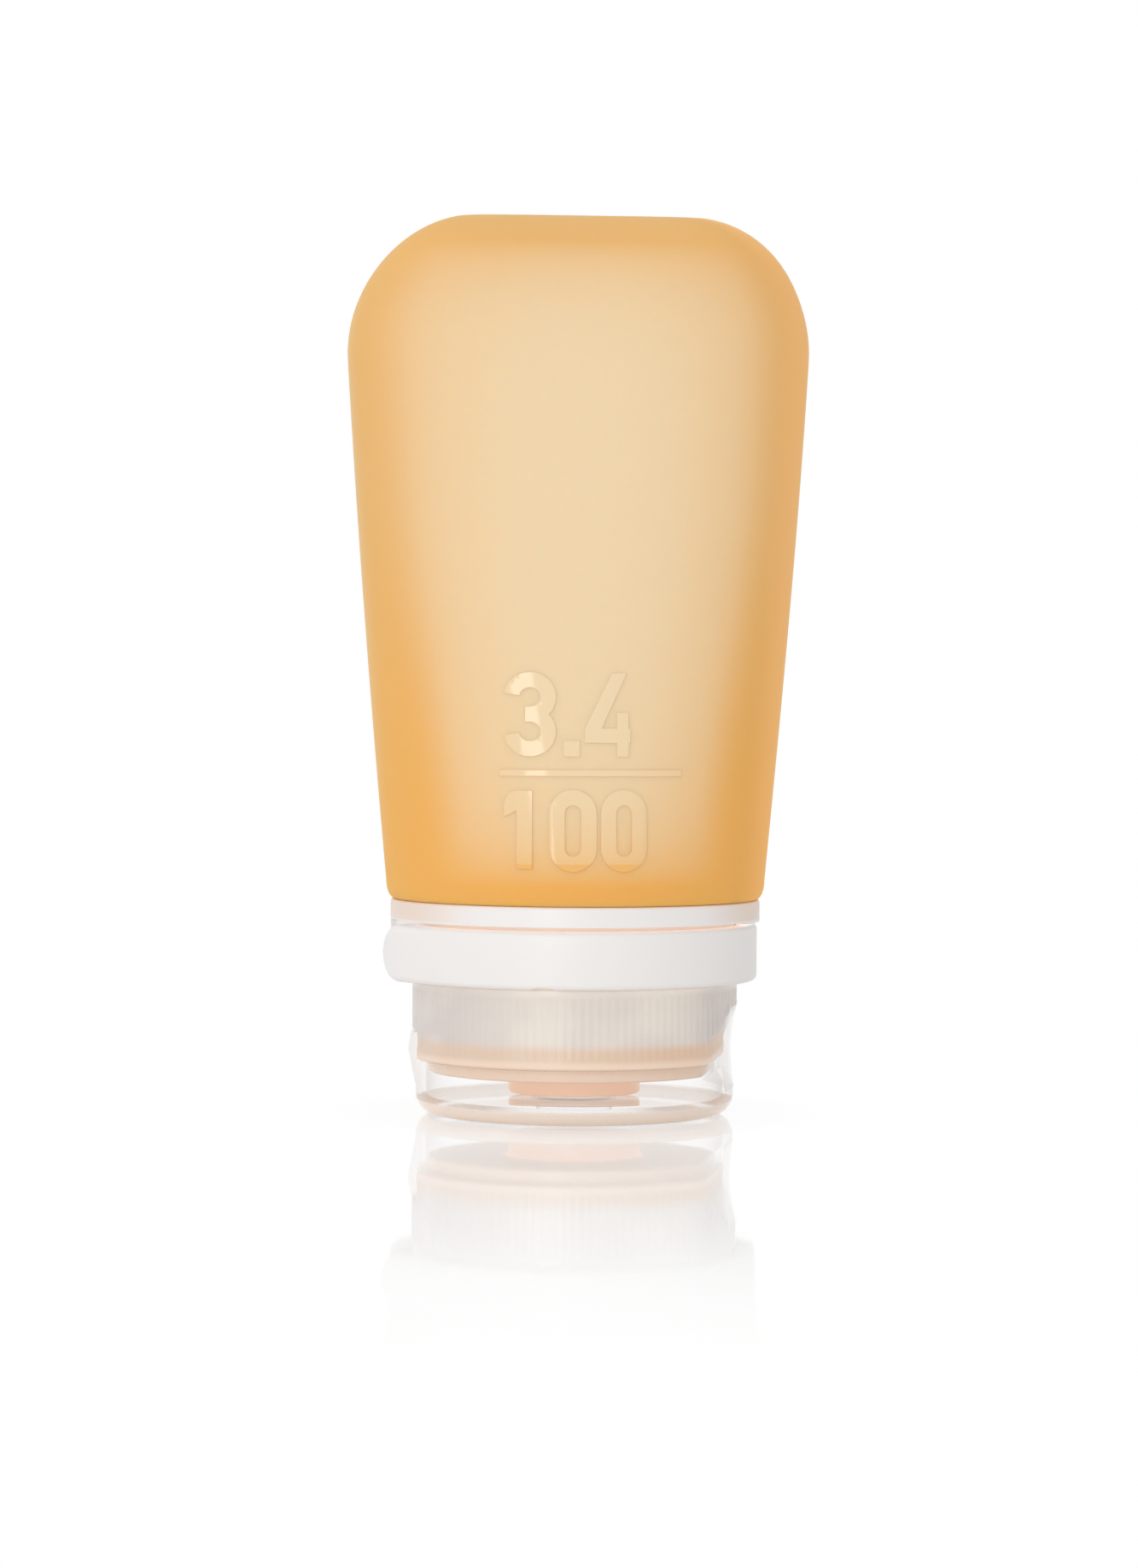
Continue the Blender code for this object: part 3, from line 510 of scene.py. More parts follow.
def tube_roundness(z):
    """How square the section is: 2 is an ellipse, and more is squarer."""
    at_shoulder, at_widest, at_end = tube_roundness_shares
    if z < tube_wide_z:
        share = max(0.0, (z - tube_seat_z) / (tube_wide_z - tube_seat_z))
        return at_shoulder + (at_widest - at_shoulder) * share ** 2 * (3 - 2 * share)
    share = (z - tube_wide_z) / (tube_end_z - tube_wide_z)
    return at_widest + (at_end - at_widest) * share ** 3


def tube_ring(half_width, half_depth, roundness, z):
    """A squarish oval, with its points crowded a little towards the tube's two edges."""
    ring = []
    for step in range(tube_sides):
        turn = math.tau * step / tube_sides
        along = math.cos(turn)
        across = tube_crowding_share * math.sin(turn)
        stretch = (abs(along) / half_width) ** roundness + (abs(across) / half_depth) ** roundness
        reach = stretch ** (-1 / roundness)
        ring.append(Vector((along * reach, across * reach, z)))
    return ring


def tube_body_rings(inset):
    """The rings of the body's outside or inside, from the shoulder up to the flat end."""
    low_z = tube_seat_z + tube_shoulder_rise + inset
    radius = tube_corner_radius_wide - inset
    highest = math.asin((tube_end_z - inset - tube_wide_z) / radius)
    heights = [low_z + (tube_wide_z - low_z) * step / tube_face_rows
               for step in range(tube_face_rows)]
    heights += [tube_wide_z + radius * math.sin(highest * step / tube_corner_rows)
                for step in range(tube_corner_rows + 1)]
    return [tube_ring(*tube_size(z, inset), tube_roundness(z), z) for z in heights]


def round_ring(radius, z):
    return tube_ring(radius, radius, tube_roundness_shares[0], z)


def shrunk(ring, share):
    """A ring drawn in towards its middle, for a flat end."""
    return [Vector((point.x * share, point.y * share, point.z)) for point in ring]


def close_end(bm, row):
    """Fans the last ring of an end to its middle point."""
    middle = bm.verts.new((0, 0, row[0].co.z))
    for one, other in zip(row, row[1:] + row[:1]):
        bm.faces.new((one, other, middle))


outside = tube_body_rings(0.0)
inside = tube_body_rings(tube_wall)
end_shares = (0.985, 0.95, 0.85, 0.6, 0.3)
rings = [shrunk(outside[-1], share) for share in reversed(end_shares)]
rings += reversed(outside)
for step in range(1, tube_shoulder_rows + 1):
    angle = math.pi / 2 * step / tube_shoulder_rows
    rings.append(round_ring(tube_shoulder_radius - tube_shoulder_inset * (1 - math.cos(angle)),
                            tube_seat_z + tube_shoulder_rise * (1 - math.sin(angle))))
step_z = collar_floor_z + face_gap
neck_profile = [(tube_wide_neck_radius, tube_seat_z), (tube_wide_neck_radius, step_z),
                (tube_neck_radius, step_z), (tube_neck_radius, tube_lip_top_z),
                (tube_lip_radius, tube_lip_top_z, tube_lip_fillet),
                (tube_lip_radius, tube_low.z, tube_lip_fillet),
                (tube_neck_radius - tube_wall, tube_low.z, tube_mouth_fillet),
                (tube_neck_radius - tube_wall, step_z + tube_wall),
                (tube_wide_neck_radius - tube_wall, step_z + tube_wall),
                (tube_wide_neck_radius - tube_wall, inside[0][0].z)]
rings += [round_ring(radius, z) for radius, z in rounded(neck_profile)]
rings += inside
rings += [shrunk(inside[-1], share) for share in end_shares]
bm = bmesh.new()
rows = skin(bm, rings)[0]
close_end(bm, rows[0])
close_end(bm, rows[-1])
tube = solid("soft_tube", bm)


def silicone(name, roughness, grain_depth, spread_share, gloss, dim_below_z):
    """Amber silicone with the daylight that shines through it painted into its colour: a painted
    pale glow where two thin walls lie square to the light, deep amber where the wall runs edge
    on, at the sides, the flat end and the shoulder."""
    finish = Finish(name)
    x, y, z = finish.axes()
    rise = (z - tube_wide_z).at_least(0.0)
    fall = (tube_wide_z - z).at_least(0.0)
    arc = (tube_corner_radius_wide ** 2 - rise * rise).at_least(0.0) ** 0.5
    half_width = tube_half_width - tube_corner_radius_wide + arc
    slope = (tube_half_width - tube_shoulder_radius) / (tube_wide_z - tube_seat_z)
    sideways = (x + glow_shift) / (half_width - slope * fall)
    across = abs(sideways)
    low = finish.ramp(z, tube_seat_z + low_glow_height, tube_seat_z + 0.002)
    glow_across = across * (1.0 + 0.22 * low)
    from_side = (1.0 - glow_across ** 2.4).at_least(0.0) * finish.ramp(glow_across, 0.99, 0.66)
    past_end = (tube_end_z - end_glow_start - z) / -end_glow_length
    from_end = (1.0 - math.e ** past_end).at_least(0.06)
    past_shoulder = (tube_seat_z + shoulder_glow_start - z) / shoulder_glow_length
    from_shoulder = (1.0 - math.e ** past_shoulder).at_least(0.0)
    # Painted glow: the base colour turns pale in the middle of the faces and in a faint band down
    # the narrow sides, and below the given height only to 0.3 of it.
    painted_face_glow = from_side * from_end * from_shoulder
    cloud = finish.grain(0.012, 2.0, (1.0, 1.0, 0.5))
    painted_side_glow = finish.ramp(abs(y), side_glow_reach, 0.0, 0.0, 0.30)
    painted_side_glow = painted_side_glow * finish.ramp(across, 0.90, 0.98)
    painted_side_glow = painted_side_glow * from_shoulder * from_end
    glow = painted_face_glow.at_least(painted_side_glow) + 0.04 * (cloud - 0.5)
    glow = glow * finish.ramp(z, dim_below_z - 0.0002, dim_below_z + 0.0001, 0.3, 1.0)
    glow = glow.at_least(0.0).at_most(1.0)
    # Painted glow: an emission over the whole tube, brighter amber towards its right-hand edge,
    # stands in for light coming through the silicone.
    edge = finish.ramp(across, 0.82, 1.0) * (0.5 + 0.5 * sideways).at_least(0.0)
    deep = finish.blend(low, amber_color, amber_low_color)
    sand = finish.grain(0.00022, 2.0)
    tone = finish.blend(glow, deep, painted_glow_pale_color)
    return finish.paint(Base_Color=tone, Roughness=roughness + 0.05 * cloud,
                        Normal=finish.relief(sand, grain_depth, 0.6),
                        Emission_Color=finish.blend(edge, tone, painted_edge_glow_color),
                        Emission_Strength=painted_glow_strength,
                        Specular_IOR_Level=gloss, Subsurface_Weight=spread_share,
                        Subsurface_Scale=0.003, Subsurface_Radius=(1.0, 0.55, 0.25))


dress(tube, silicone("amber_silicone", 0.64, 0.000012, 0.5, 0.16, 0.0))
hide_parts("squeeze_tube")
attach(tube, "bottle")

# Capacity numerals
# Plain figures for the bottle's capacity, polished into the mould, so that they stand a little
# proud of the frosted skin with flat glossy faces. They are one piece with the tube.
numeral_height = 0.00015
numeral_root = 0.00030
numeral_chamfer = 0.00005
stroke = 0.00175
numerals_grid = 0.0006
numerals_reach = 0.0105
numerals_low_z = 0.0285
numerals_high_z = 0.0520


def arc(center, across, up, start, end, steps=28):
    """Points along an ellipse, from one angle to another, in degrees."""
    return [(center[0] + across * math.cos(math.radians(start + (end - start) * step / steps)),
             center[1] + up * math.sin(math.radians(start + (end - start) * step / steps)))
            for step in range(steps + 1)]


def push_out(bm, faces, way):
    """Extrudes faces along a way, and gives back the faces at its end."""
    made = bmesh.ops.extrude_face_region(bm, geom=faces)["geom"]
    verts = [item for item in made if isinstance(item, bmesh.types.BMVert)]
    bmesh.ops.translate(bm, verts=verts, vec=way)
    return [item for item in made if isinstance(item, bmesh.types.BMFace)]


def outline_face(bm, points):
    return [bm.faces.new([bm.verts.new((x, 0, z)) for x, z in points])]


def figure_bar(bm, left, right, low, high):
    return outline_face(bm, [(left, low), (right, low), (right, high), (left, high)])


def figure_three(bm, left, right, low, high):
    middle = (low + high) / 2
    up = (high - low - stroke) / 4
    across = (right - left - stroke) / 2
    bowls = [((left + right) / 2, middle + up), ((left + right) / 2, middle - up)]
    meeting = math.degrees(math.asin(up / (up + stroke / 2)))
    outer = [across + stroke / 2, up + stroke / 2]
    inner = [across - stroke / 2, up - stroke / 2]
    points = arc(bowls[0], *outer, 172, -meeting) + arc(bowls[1], *outer, meeting, -172)
    points += arc(bowls[1], *inner, -172, 90)
    points += [(bowls[1][0] - stroke / 3, middle - stroke / 2)]
    points += [(bowls[0][0] - stroke / 3, middle + stroke / 2)]
    points += arc(bowls[0], *inner, -90, 172)
    return outline_face(bm, points)


def figure_four(bm, left, right, low, high):
    shares = ((0.60, 1.0), (0.92, 1.0), (0.37, 0.34), (0.70, 0.34), (0.70, 0.53), (0.96, 0.53),
              (0.96, 0.34), (1.0, 0.34), (1.0, 0.165), (0.96, 0.165), (0.96, 0.0), (0.70, 0.0),
              (0.70, 0.165), (0.0, 0.165), (0.0, 0.34))
    return outline_face(bm, [(left + (right - left) * across, low + (high - low) * up)
                             for across, up in shares])


def figure_one(bm, left, right, low, high):
    stem = right - stroke
    flag = (high - low) * 0.20
    points = [(stem, low), (right, low), (right, high), (stem, high)]
    points += arc((stem, high - flag), stem - left, flag, 90, 180, 12)
    points += [(left, high - (high - low) * 0.34)]
    points += [(stem, high - (high - low) * 0.26)]
    return outline_face(bm, points)


def figure_zero(bm, left, right, low, high):
    radius = (right - left) / 2
    middle = (left + right) / 2
    inner = radius - stroke
    loops = []
    for reach in (radius, inner):
        top = arc((middle, high - radius), reach, reach, 0, 180)
        loops.append(top + arc((middle, low + radius), reach, reach, 180, 360))
    return skin(bm, [[(x, 0, z) for x, z in points] for points in loops])[1]


def tube_face(x, z):
    """How far the tube's skin stands in front of the axis, at a place on its wide front."""
    half_width, half_depth = tube_size(z)
    roundness = tube_roundness(z)
    return half_depth * (1 - (abs(x) / half_width) ** roundness) ** (1 / roundness)


figures = ((figure_three, (-0.0099, -0.00406, 0.0420, 0.0515)),
           (figure_bar, (-0.00321, -0.0014, 0.0420, 0.0438)),
           (figure_four, (-0.00083, 0.00433, 0.0420, 0.0514)),
           (figure_bar, (-0.0103, 0.0103, 0.0398, 0.0405)),
           (figure_one, (-0.00985, -0.0067, 0.0294, 0.0382)),
           (figure_zero, (-0.00483, 0.0005, 0.0291, 0.0383)),
           (figure_zero, (0.00097, 0.00624, 0.0291, 0.0383)))
bm = bmesh.new()
for draw, box in figures:
    front = push_out(bm, draw(bm, *box),
                     (0, -numeral_root - numeral_height + numeral_chamfer, 0))
    bmesh.ops.recalc_face_normals(bm, faces=bm.faces)
    bmesh.ops.inset_region(bm, faces=front, thickness=numeral_chamfer, depth=numeral_chamfer,
                           use_even_offset=True, use_boundary=True)
for axis, low, high in (((1, 0, 0), -numerals_reach, numerals_reach),
                        ((0, 0, 1), numerals_low_z, numerals_high_z)):
    for step in range(round((high - low) / numerals_grid)):
        place = Vector(axis) * (low + numerals_grid * step)
        bmesh.ops.bisect_plane(bm, geom=[*bm.verts, *bm.edges, *bm.faces], dist=0.0000001,
                               plane_co=place, plane_no=axis)
for vert in bm.verts:
    vert.co.y += numeral_root - tube_face(vert.co.x, vert.co.z)
numerals = solid("capacity_numerals", bm)
# The figures share the tube's painted glow, kept to 0.3 of it below 30 mm.
dress(numerals, silicone("polished_silicone", 0.05, 0.000001, 0.0, 0.25, 0.0300), 40)
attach(numerals, "bottle")

# Hanging strap
# A springy white polypropylene strap that wraps the front of the collar in its pocket. It ends in
# a round finger tab on the left, turns on a stub pin at the right rear, and hangs the bottle.
strap_bore = 0.0190
strap_radius = 0.0213
strap_edge_fillet = 0.0007
strap_tab_angle = math.radians(-74.5)
strap_tab_flare = 0.0015
strap_tab_fillet = 0.0011
strap_flare_angle = math.radians(-54)
strap_notch_angle = math.radians(-15)
strap_notch_width = 0.0028
strap_notch_height = 0.00035
strap_half_height = (strap_top_z - collar_step_z) / 2
strap_middle_z = (strap_top_z + collar_step_z) / 2
knuckle_web_inset = 0.0003
strap_rows = 110
strap_tab_rows = 26
notch_tool_depth = 0.008


def strap_section(angle, half_height):
    """The strap's rounded section at one angle, pushed outwards where the tab flares."""
    tab_end = strap_tab_angle - strap_half_height / strap_radius
    share = min(1.0, max(0.0, (strap_flare_angle - angle) / (strap_flare_angle - tab_end)))
    flare = strap_tab_flare * share ** 2 * (3 - 2 * share)
    swell = (strap_tab_fillet - strap_edge_fillet) * share
    fillet = min(strap_edge_fillet + swell, half_height * 0.98)
    inner = strap_bore + flare
    outer = strap_radius + flare
    low = strap_middle_z - half_height
    high = strap_middle_z + half_height
    corners = [(inner, high, fillet / 2), (outer, high, fillet), (outer, low, fillet),
               (inner, low, fillet / 2)]
    return [around(radius, angle, z) for radius, z in rounded(corners, 8)]


strap_root = loop_pin_angle - (knuckle_radius + strap_edge_fillet) / loop_pin_reach
rings = []
for step in range(strap_rows + 1):
    angle = strap_root + (strap_tab_angle - strap_root) * step / strap_rows
    rings.append(strap_section(angle, strap_half_height))
for step in range(1, strap_tab_rows):
    turn = math.pi / 2 * step / strap_tab_rows
    rings.append(strap_section(strap_tab_angle - strap_half_height * math.sin(turn) / strap_radius,
                               strap_half_height * math.cos(turn)))
strap = lofted("hanging_strap", rings)
knuckle_low_z = ear_z + face_gap
combine(strap, sector("strap_web", box_profile(
    strap_bore + knuckle_web_inset, strap_radius - knuckle_web_inset, knuckle_low_z,
    strap_top_z - hair), strap_root - strap_edge_fillet / strap_radius, loop_pin_angle), "UNION")
combine(strap, post("knuckle", loop_pin, knuckle_radius, knuckle_low_z, strap_top_z), "UNION")
combine(strap, post("pivot_pin", loop_pin, loop_pin_radius, collar_step_z + face_gap,
                    strap_high.z), "UNION")
notch_chord = strap_notch_width / 2
notch_radius = (notch_chord ** 2 + strap_notch_height ** 2) / (2 * strap_notch_height)
bm = bmesh.new()
bmesh.ops.create_cone(bm, cap_ends=True, segments=160, radius1=notch_radius, radius2=notch_radius,
                      depth=notch_tool_depth)
outward = around(1, strap_notch_angle, 0)
bmesh.ops.rotate(bm, verts=bm.verts, matrix=outward.to_track_quat("Z", "Y").to_matrix())
bmesh.ops.translate(bm, verts=bm.verts, vec=outward * strap_radius + Vector((
    0, 0, collar_step_z + strap_notch_height - notch_radius)))
combine(strap, solid("strap_notch", bm))
dress(strap, white)
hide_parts("hang_loop")
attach(strap, "loop")

# Sealing ring
# A flat washer of thin orange silicone that lies on the cap's deck and seals against the tube's
# rolled lip when the cap is screwed home. It is loose, held by the thread's pressure alone.
seal_low, seal_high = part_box("cap_seal")
seal_edge_fillet = 0.0002
seal_bore = tube_neck_radius - tube_wall - 0.0003
seal_color = (0.80, 0.43, 0.17)


def thin_silicone():
    """Satin silicone in a thin section, a little cloudy."""
    finish = Finish("seal_silicone")
    cloud = finish.grain(0.004, 2.0)
    tone = finish.blend(cloud, tuple(0.94 * share for share in seal_color), seal_color)
    return finish.paint(Base_Color=tone, Roughness=0.42 + 0.1 * cloud,
                        Normal=finish.relief(finish.grain(0.0002), 0.000006, 0.5),
                        Subsurface_Weight=0.4, Subsurface_Scale=0.0015,
                        Subsurface_Radius=(1.0, 0.5, 0.25))


seal = turned("sealing_ring", box_profile(
    seal_bore, seal_high.x, seal_low.z, seal_high.z, seal_edge_fillet))
seal_rubber = thin_silicone()
dress(seal, seal_rubber)
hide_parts("cap_seal")
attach(seal, "seal")

# Cap base
# The screw cap, moulded in milky polypropylene that shows the neck through its wall. It has fine
# grip ribs, a thread inside, the deck with the spout's tower, and recesses for tab and hinge.
cap_low, cap_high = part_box("cap_base")
hinge = Vector(joints["lid_hinge"]["pos_m"])
hinge_angle = math.atan2(hinge.x, -hinge.y)
hinge_reach = math.hypot(hinge.x, hinge.y)
tab_angle = hinge_angle - math.pi
tab_half_angle = math.radians(22)
tab_lift = 0.0032
tab_bulge = 0.0005
cap_radius = cap_high.x
cap_thread_bore = 0.0169
cap_lip_bore = 0.0154
cap_edge_fillet = 0.0003
spout_hole_fillet = 0.0002
cap_film_gap = 0.00005
# The height of the painted orange band of the tube's lip, and where the cap's painted side shade
# starts and ends.
lip_band_z = 0.0080
side_shade_start = 0.008
side_shade_end = 0.017
cap_rim_z = hinge.z + cap_film_gap
lid_rim_z = hinge.z - cap_film_gap
cap_top_z = collar_step_z - cap_film_gap
lid_radius = cap_radius - 0.0004
lid_wall = 0.0012
deck_outer_z = cap_rim_z - 0.0016
deck_inner_z = deck_outer_z + 0.0013
tower_radius = 0.0077
tower_bore = 0.0064
tower_shelf_z = cap_low.z + 0.0010
spout_hole_radius = 0.0050
hinge_flat_above = 0.0022
hinge_relief = 0.00005
hinge_film_wall = 0.00065
hinge_slope_above = math.radians(28.5)
hinge_flat_below = 0.00135
hinge_slope_below = math.radians(45)
rib_count = 120
rib_depth = 0.00009
rib_low_z = cap_rim_z + 0.0012
rib_high_z = cap_top_z - 0.0008
rib_run_out = 0.0004
# The cap's own tone, then its painted light: the cool colour of its random patches and painted
# side shade, and the colours of its painted warm glow in the deck, at the tube's lip and in the
# spout's tower.
frosted_color = (0.90, 0.84, 0.77)
cool_tone_and_side_shade_color = (0.76, 0.705, 0.675)
deck_glow_painted_color = (0.80, 0.63, 0.505)
lip_glow_painted_color = (0.86, 0.64, 0.47)
tower_glow_painted_color = (0.83, 0.575, 0.42)


def prism(name, outline, angle, half_width):
    """An outline in reach and height, looking along one angle, made as thick as its width."""
    bm = bmesh.new()
    outward = around(1, angle, 0)
    sideways = Vector((-outward.y, outward.x, 0))
    face = bm.faces.new([bm.verts.new(outward * reach - sideways * half_width + Vector((0, 0, z)))
                         for reach, z in outline])
    push_out(bm, [face], sideways * half_width * 2)
    return solid(name, bm)


def frosted_plastic():
    """Milky polypropylene that half hides what is behind it, and more so in its thick deck. The
    warm light of the orange silicone through the wall is painted: a painted peach glow in the deck
    and the spout's tower, a painted orange band at the tube's lip and a painted glow under the
    strap and all over, with painted shade towards the cap's two sides."""
    finish = Finish("frosted_plastic")
    x, y, z = finish.axes()
    cloud = finish.grain(0.005, 3.0)
    patches_and_side_shade = finish.ramp(finish.grain(0.009, 2.0), 0.42, 0.62, 0.0, 0.45)
    # Painted shade: besides the random cool patches, the cap turns greyer and darker towards its
    # left and right sides.
    patches_and_side_shade = patches_and_side_shade + finish.ramp(abs(x), side_shade_start, side_shade_end, 0.0, 0.55)
    # Painted glow: an orange band where the tube's lip lies behind the wall, stronger towards the
    # right, in place of the lip's light through the milky plastic.
    painted_lip_glow = finish.ramp(abs(z - lip_band_z), 0.0016, 0.0003)
    painted_lip_glow = painted_lip_glow * (0.45 + 0.5 * cloud + finish.ramp(x, -0.010, 0.014, 0.0, 0.35)).at_most(1.0)
    # Painted warm glow: the deck and, inside it, the spout's tower are coloured peach as if lit
    # through the orange silicone.
    low = finish.ramp(z, cap_rim_z + 0.0012, cap_rim_z + 0.0002)
    inner = finish.ramp((x * x + y * y) ** 0.5, tower_radius + 0.0010, tower_radius + 0.0002)
    tone = finish.blend(low, finish.blend(patches_and_side_shade, frosted_color, cool_tone_and_side_shade_color), deck_glow_painted_color)
    tone = finish.blend(painted_lip_glow, tone, lip_glow_painted_color)
    tone = finish.blend(inner * low, tone, tower_glow_painted_color)
    # Painted glow: the cap gives off a little light in its own colour, more under the strap, in
    # the deck and most in the spout's tower, to lift the shade there.
    painted_margin_glow = finish.ramp(z, rib_high_z - 0.0004, cap_top_z)
    share = 0.12 + 0.34 * painted_margin_glow + 0.18 * low + 0.50 * inner * low
    return finish.paint(Base_Color=tone, Roughness=0.30 + 0.12 * cloud,
                        Normal=finish.relief(finish.grain(0.00015), 0.000004, 0.4),
                        Emission_Color=finish.blend(share.at_most(1.0), (0.0, 0.0, 0.0), tone),
                        Emission_Strength=0.5, Alpha=(0.80 + 0.20 * low).at_most(1.0), IOR=1.49)


spigot = lid_radius - lid_wall - face_gap
cap_step_z = neck_end_z + neck_pilot_length - neck_pilot_inset - face_gap
rib_rows = [(cap_radius, z) for z in (rib_high_z, rib_high_z - rib_run_out,
                                      rib_low_z + rib_run_out, rib_low_z)]
cap = turned("screw_cap", [
    (cap_thread_bore, cap_top_z, cap_edge_fillet), (cap_radius, cap_top_z, cap_edge_fillet),
    *rib_rows, (cap_radius, cap_rim_z, cap_edge_fillet), (spigot, cap_rim_z),
    (spigot, deck_outer_z, cap_edge_fillet), (tower_radius, deck_outer_z, cap_edge_fillet),
    (tower_radius, cap_low.z, cap_edge_fillet), (spout_hole_radius, cap_low.z, spout_hole_fillet),
    (spout_hole_radius, tower_shelf_z), (tower_bore, tower_shelf_z), (tower_bore, deck_inner_z),
    (cap_lip_bore, deck_inner_z), (cap_lip_bore, cap_step_z - face_gap),
    (cap_thread_bore, cap_step_z)], 5 * rib_count)
combine(cap, thread("cap_thread", cap_thread_bore, cap_thread_bore - thread_depth, -math.pi),
        "UNION")
cut_reach = cap_radius + overrun
cut_half_width = math.sqrt(cap_radius ** 2 - (hinge_reach - hinge_film_wall) ** 2) + overrun
tab_inner_radius = lid_radius - tab_bulge + face_gap
tab_recess_half = tab_half_angle + 2 * face_gap / cap_radius
combine(cap, sector("tab_recess", box_profile(
    tab_inner_radius - face_gap, cut_reach, cap_rim_z - overrun, lid_rim_z + tab_lift + face_gap),
    tab_angle - tab_recess_half, tab_angle + tab_recess_half))
recess_reach = hinge_reach + hinge_relief
slope_z = cap_rim_z + hinge_flat_above
combine(cap, prism("cap_hinge_recess", [
    (recess_reach, cap_rim_z - overrun), (recess_reach, slope_z),
    (cut_reach, slope_z + (cut_reach - recess_reach) / math.tan(hinge_slope_above)),
    (cut_reach, cap_rim_z - overrun)], hinge_angle, cut_half_width))
trim_reach = hinge_reach - hinge_film_wall - face_gap
combine(cap, prism("spigot_trim", box_profile(
    trim_reach, cut_reach, deck_outer_z - overrun, cap_rim_z), hinge_angle, cut_half_width))
for vert in cap.data.vertices:
    reach = math.hypot(vert.co.x, vert.co.y)
    if reach > cap_radius - hair and rib_low_z <= vert.co.z <= rib_high_z:
        to_end = min(vert.co.z - rib_low_z, rib_high_z - vert.co.z)
        angle = math.atan2(vert.co.x, -vert.co.y)
        groove = (0.5 - 0.5 * math.cos(rib_count * angle)) * min(1.0, to_end / rib_run_out)
        vert.co.x *= 1 - groove * rib_depth / reach
        vert.co.y *= 1 - groove * rib_depth / reach
frosted = frosted_plastic()
dress(cap, frosted, 40)
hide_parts("cap_base")
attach(cap, "cap")

# Spout valve
# A soft silicone membrane with a cross slit, which opens when the tube is squeezed and shuts
# itself. Its flange lies on the shelf inside the spout's tower.
valve_low, valve_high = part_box("spout_valve")
valve_flange_z = valve_high.z - 0.0008
valve_skin = 0.0006
valve_flange_fillet = 0.0002
valve_head_radius = 0.0046
valve_slit_width = 0.0002
valve_slit_half_length = 0.0030

valve = turned("spout_valve_membrane", [
    (0, valve_low.z + valve_skin), (valve_head_radius - valve_skin, valve_low.z + valve_skin),
    (valve_head_radius - valve_skin, valve_high.z),
    (valve_high.x, valve_high.z, valve_flange_fillet),
    (valve_high.x, valve_flange_z, valve_flange_fillet), (valve_head_radius, valve_flange_z),
    (valve_head_radius, valve_low.z, valve_skin / 2), (0, valve_low.z)], closed=False)
for angle in (0.0, math.pi / 2):
    combine(valve, prism("valve_slit", box_profile(
        -valve_slit_half_length, valve_slit_half_length, valve_low.z - valve_skin,
        valve_high.z + valve_skin), angle, valve_slit_width / 2))
dress(valve, seal_rubber)
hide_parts("spout_valve")
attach(valve, "cap")

# Valve retainer
# A stiff white ring pressed into the tower behind the valve, which clamps the valve's flange
# against its shelf. It is a plain moulding with softened edges.
retainer_low, retainer_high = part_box("valve_retainer")
retainer_bore = valve_head_radius + face_gap
retainer_fillet = 0.0002

retainer = turned("valve_clamp_ring", box_profile(
    retainer_bore, retainer_high.x, retainer_low.z, retainer_high.z, retainer_fillet))
dress(retainer, white)
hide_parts("valve_retainer")
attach(retainer, "cap")

# Flip lid
# The clear lid that the bottle stands on: a shallow cup with a boss that shuts the valve, a block
# behind for the film hinge, and the thumb tab in front. It is polished clear polypropylene.
lid_base_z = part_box("flip_lid")[0].z
lid_plate = 0.0020
lid_boss_height = 0.0007
lid_edge_fillet = 0.0022
lid_fine_fillet = 0.0002
lid_floor_fillet = 0.0004
lid_boss_radius = valve_head_radius - 0.0002
tab_drop = 0.0034
tab_thickness = 0.0011
tab_top_fillet = 0.00025
plate_low_start = 0.0018
plate_low_end = 0.0002
clear_color = (0.95, 0.91, 0.86)
plate_top_color = (1.0, 0.95, 0.90)
plate_color = (0.82, 0.70, 0.61)
plate_low_color = (0.82, 0.68, 0.57)


def clear_plastic():
    """Clear polypropylene with a faint haze, milkier in the thick plate that the bottle stands on.
    Its walls let light straight through, and mirror it the more the flatter they are seen."""
    finish = Finish("clear_plastic")
    z = finish.axes()[2]
    normal = finish.node("ShaderNodeTexCoord", output="Normal")
    upward = finish.node("ShaderNodeSeparateXYZ", inputs={0: normal}, output=2)
    level = finish.ramp(upward, 0.85, 0.97)
    waves = finish.grain(0.003, 1.0, (1.0, 1.0, 0.4)) * (1.0 - level)
    haze = finish.grain(0.006, 2.0)
    plate_side = finish.ramp(z, lid_plate - 0.0001, lid_plate - 0.0005)
    plate_side = plate_side * finish.ramp(abs(upward), 0.97, 0.85)
    low = finish.ramp(z, plate_low_start, plate_low_end)
    tone = finish.blend(level, clear_color, plate_top_color)
    tone = finish.blend(plate_side, tone, finish.blend(low, plate_color, plate_low_color))
    aslant = finish.node("ShaderNodeLayerWeight", inputs={"Blend": 0.5}, output=1)
    milk = 0.01 + 0.025 * haze + (0.80 + 0.12 * level) * aslant ** 4.0
    mirroring = 0.85 * level * finish.ramp(z, lid_plate + 0.0004, lid_plate + 0.0002)
    # Painted glow: the plate's side band gives off a little light in its own colour.
    return finish.paint(Base_Color=tone, Metallic=mirroring,
                        Roughness=0.015 + (0.05 + 0.06 * haze) * (1.0 - level),
                        Normal=finish.relief(waves, 0.00002, 0.5),
                        Emission_Color=finish.blend(plate_side, (0.0, 0.0, 0.0), tone),
                        Emission_Strength=0.15, Alpha=(milk + 0.80 * plate_side).at_most(0.95),
                        IOR=1.49)


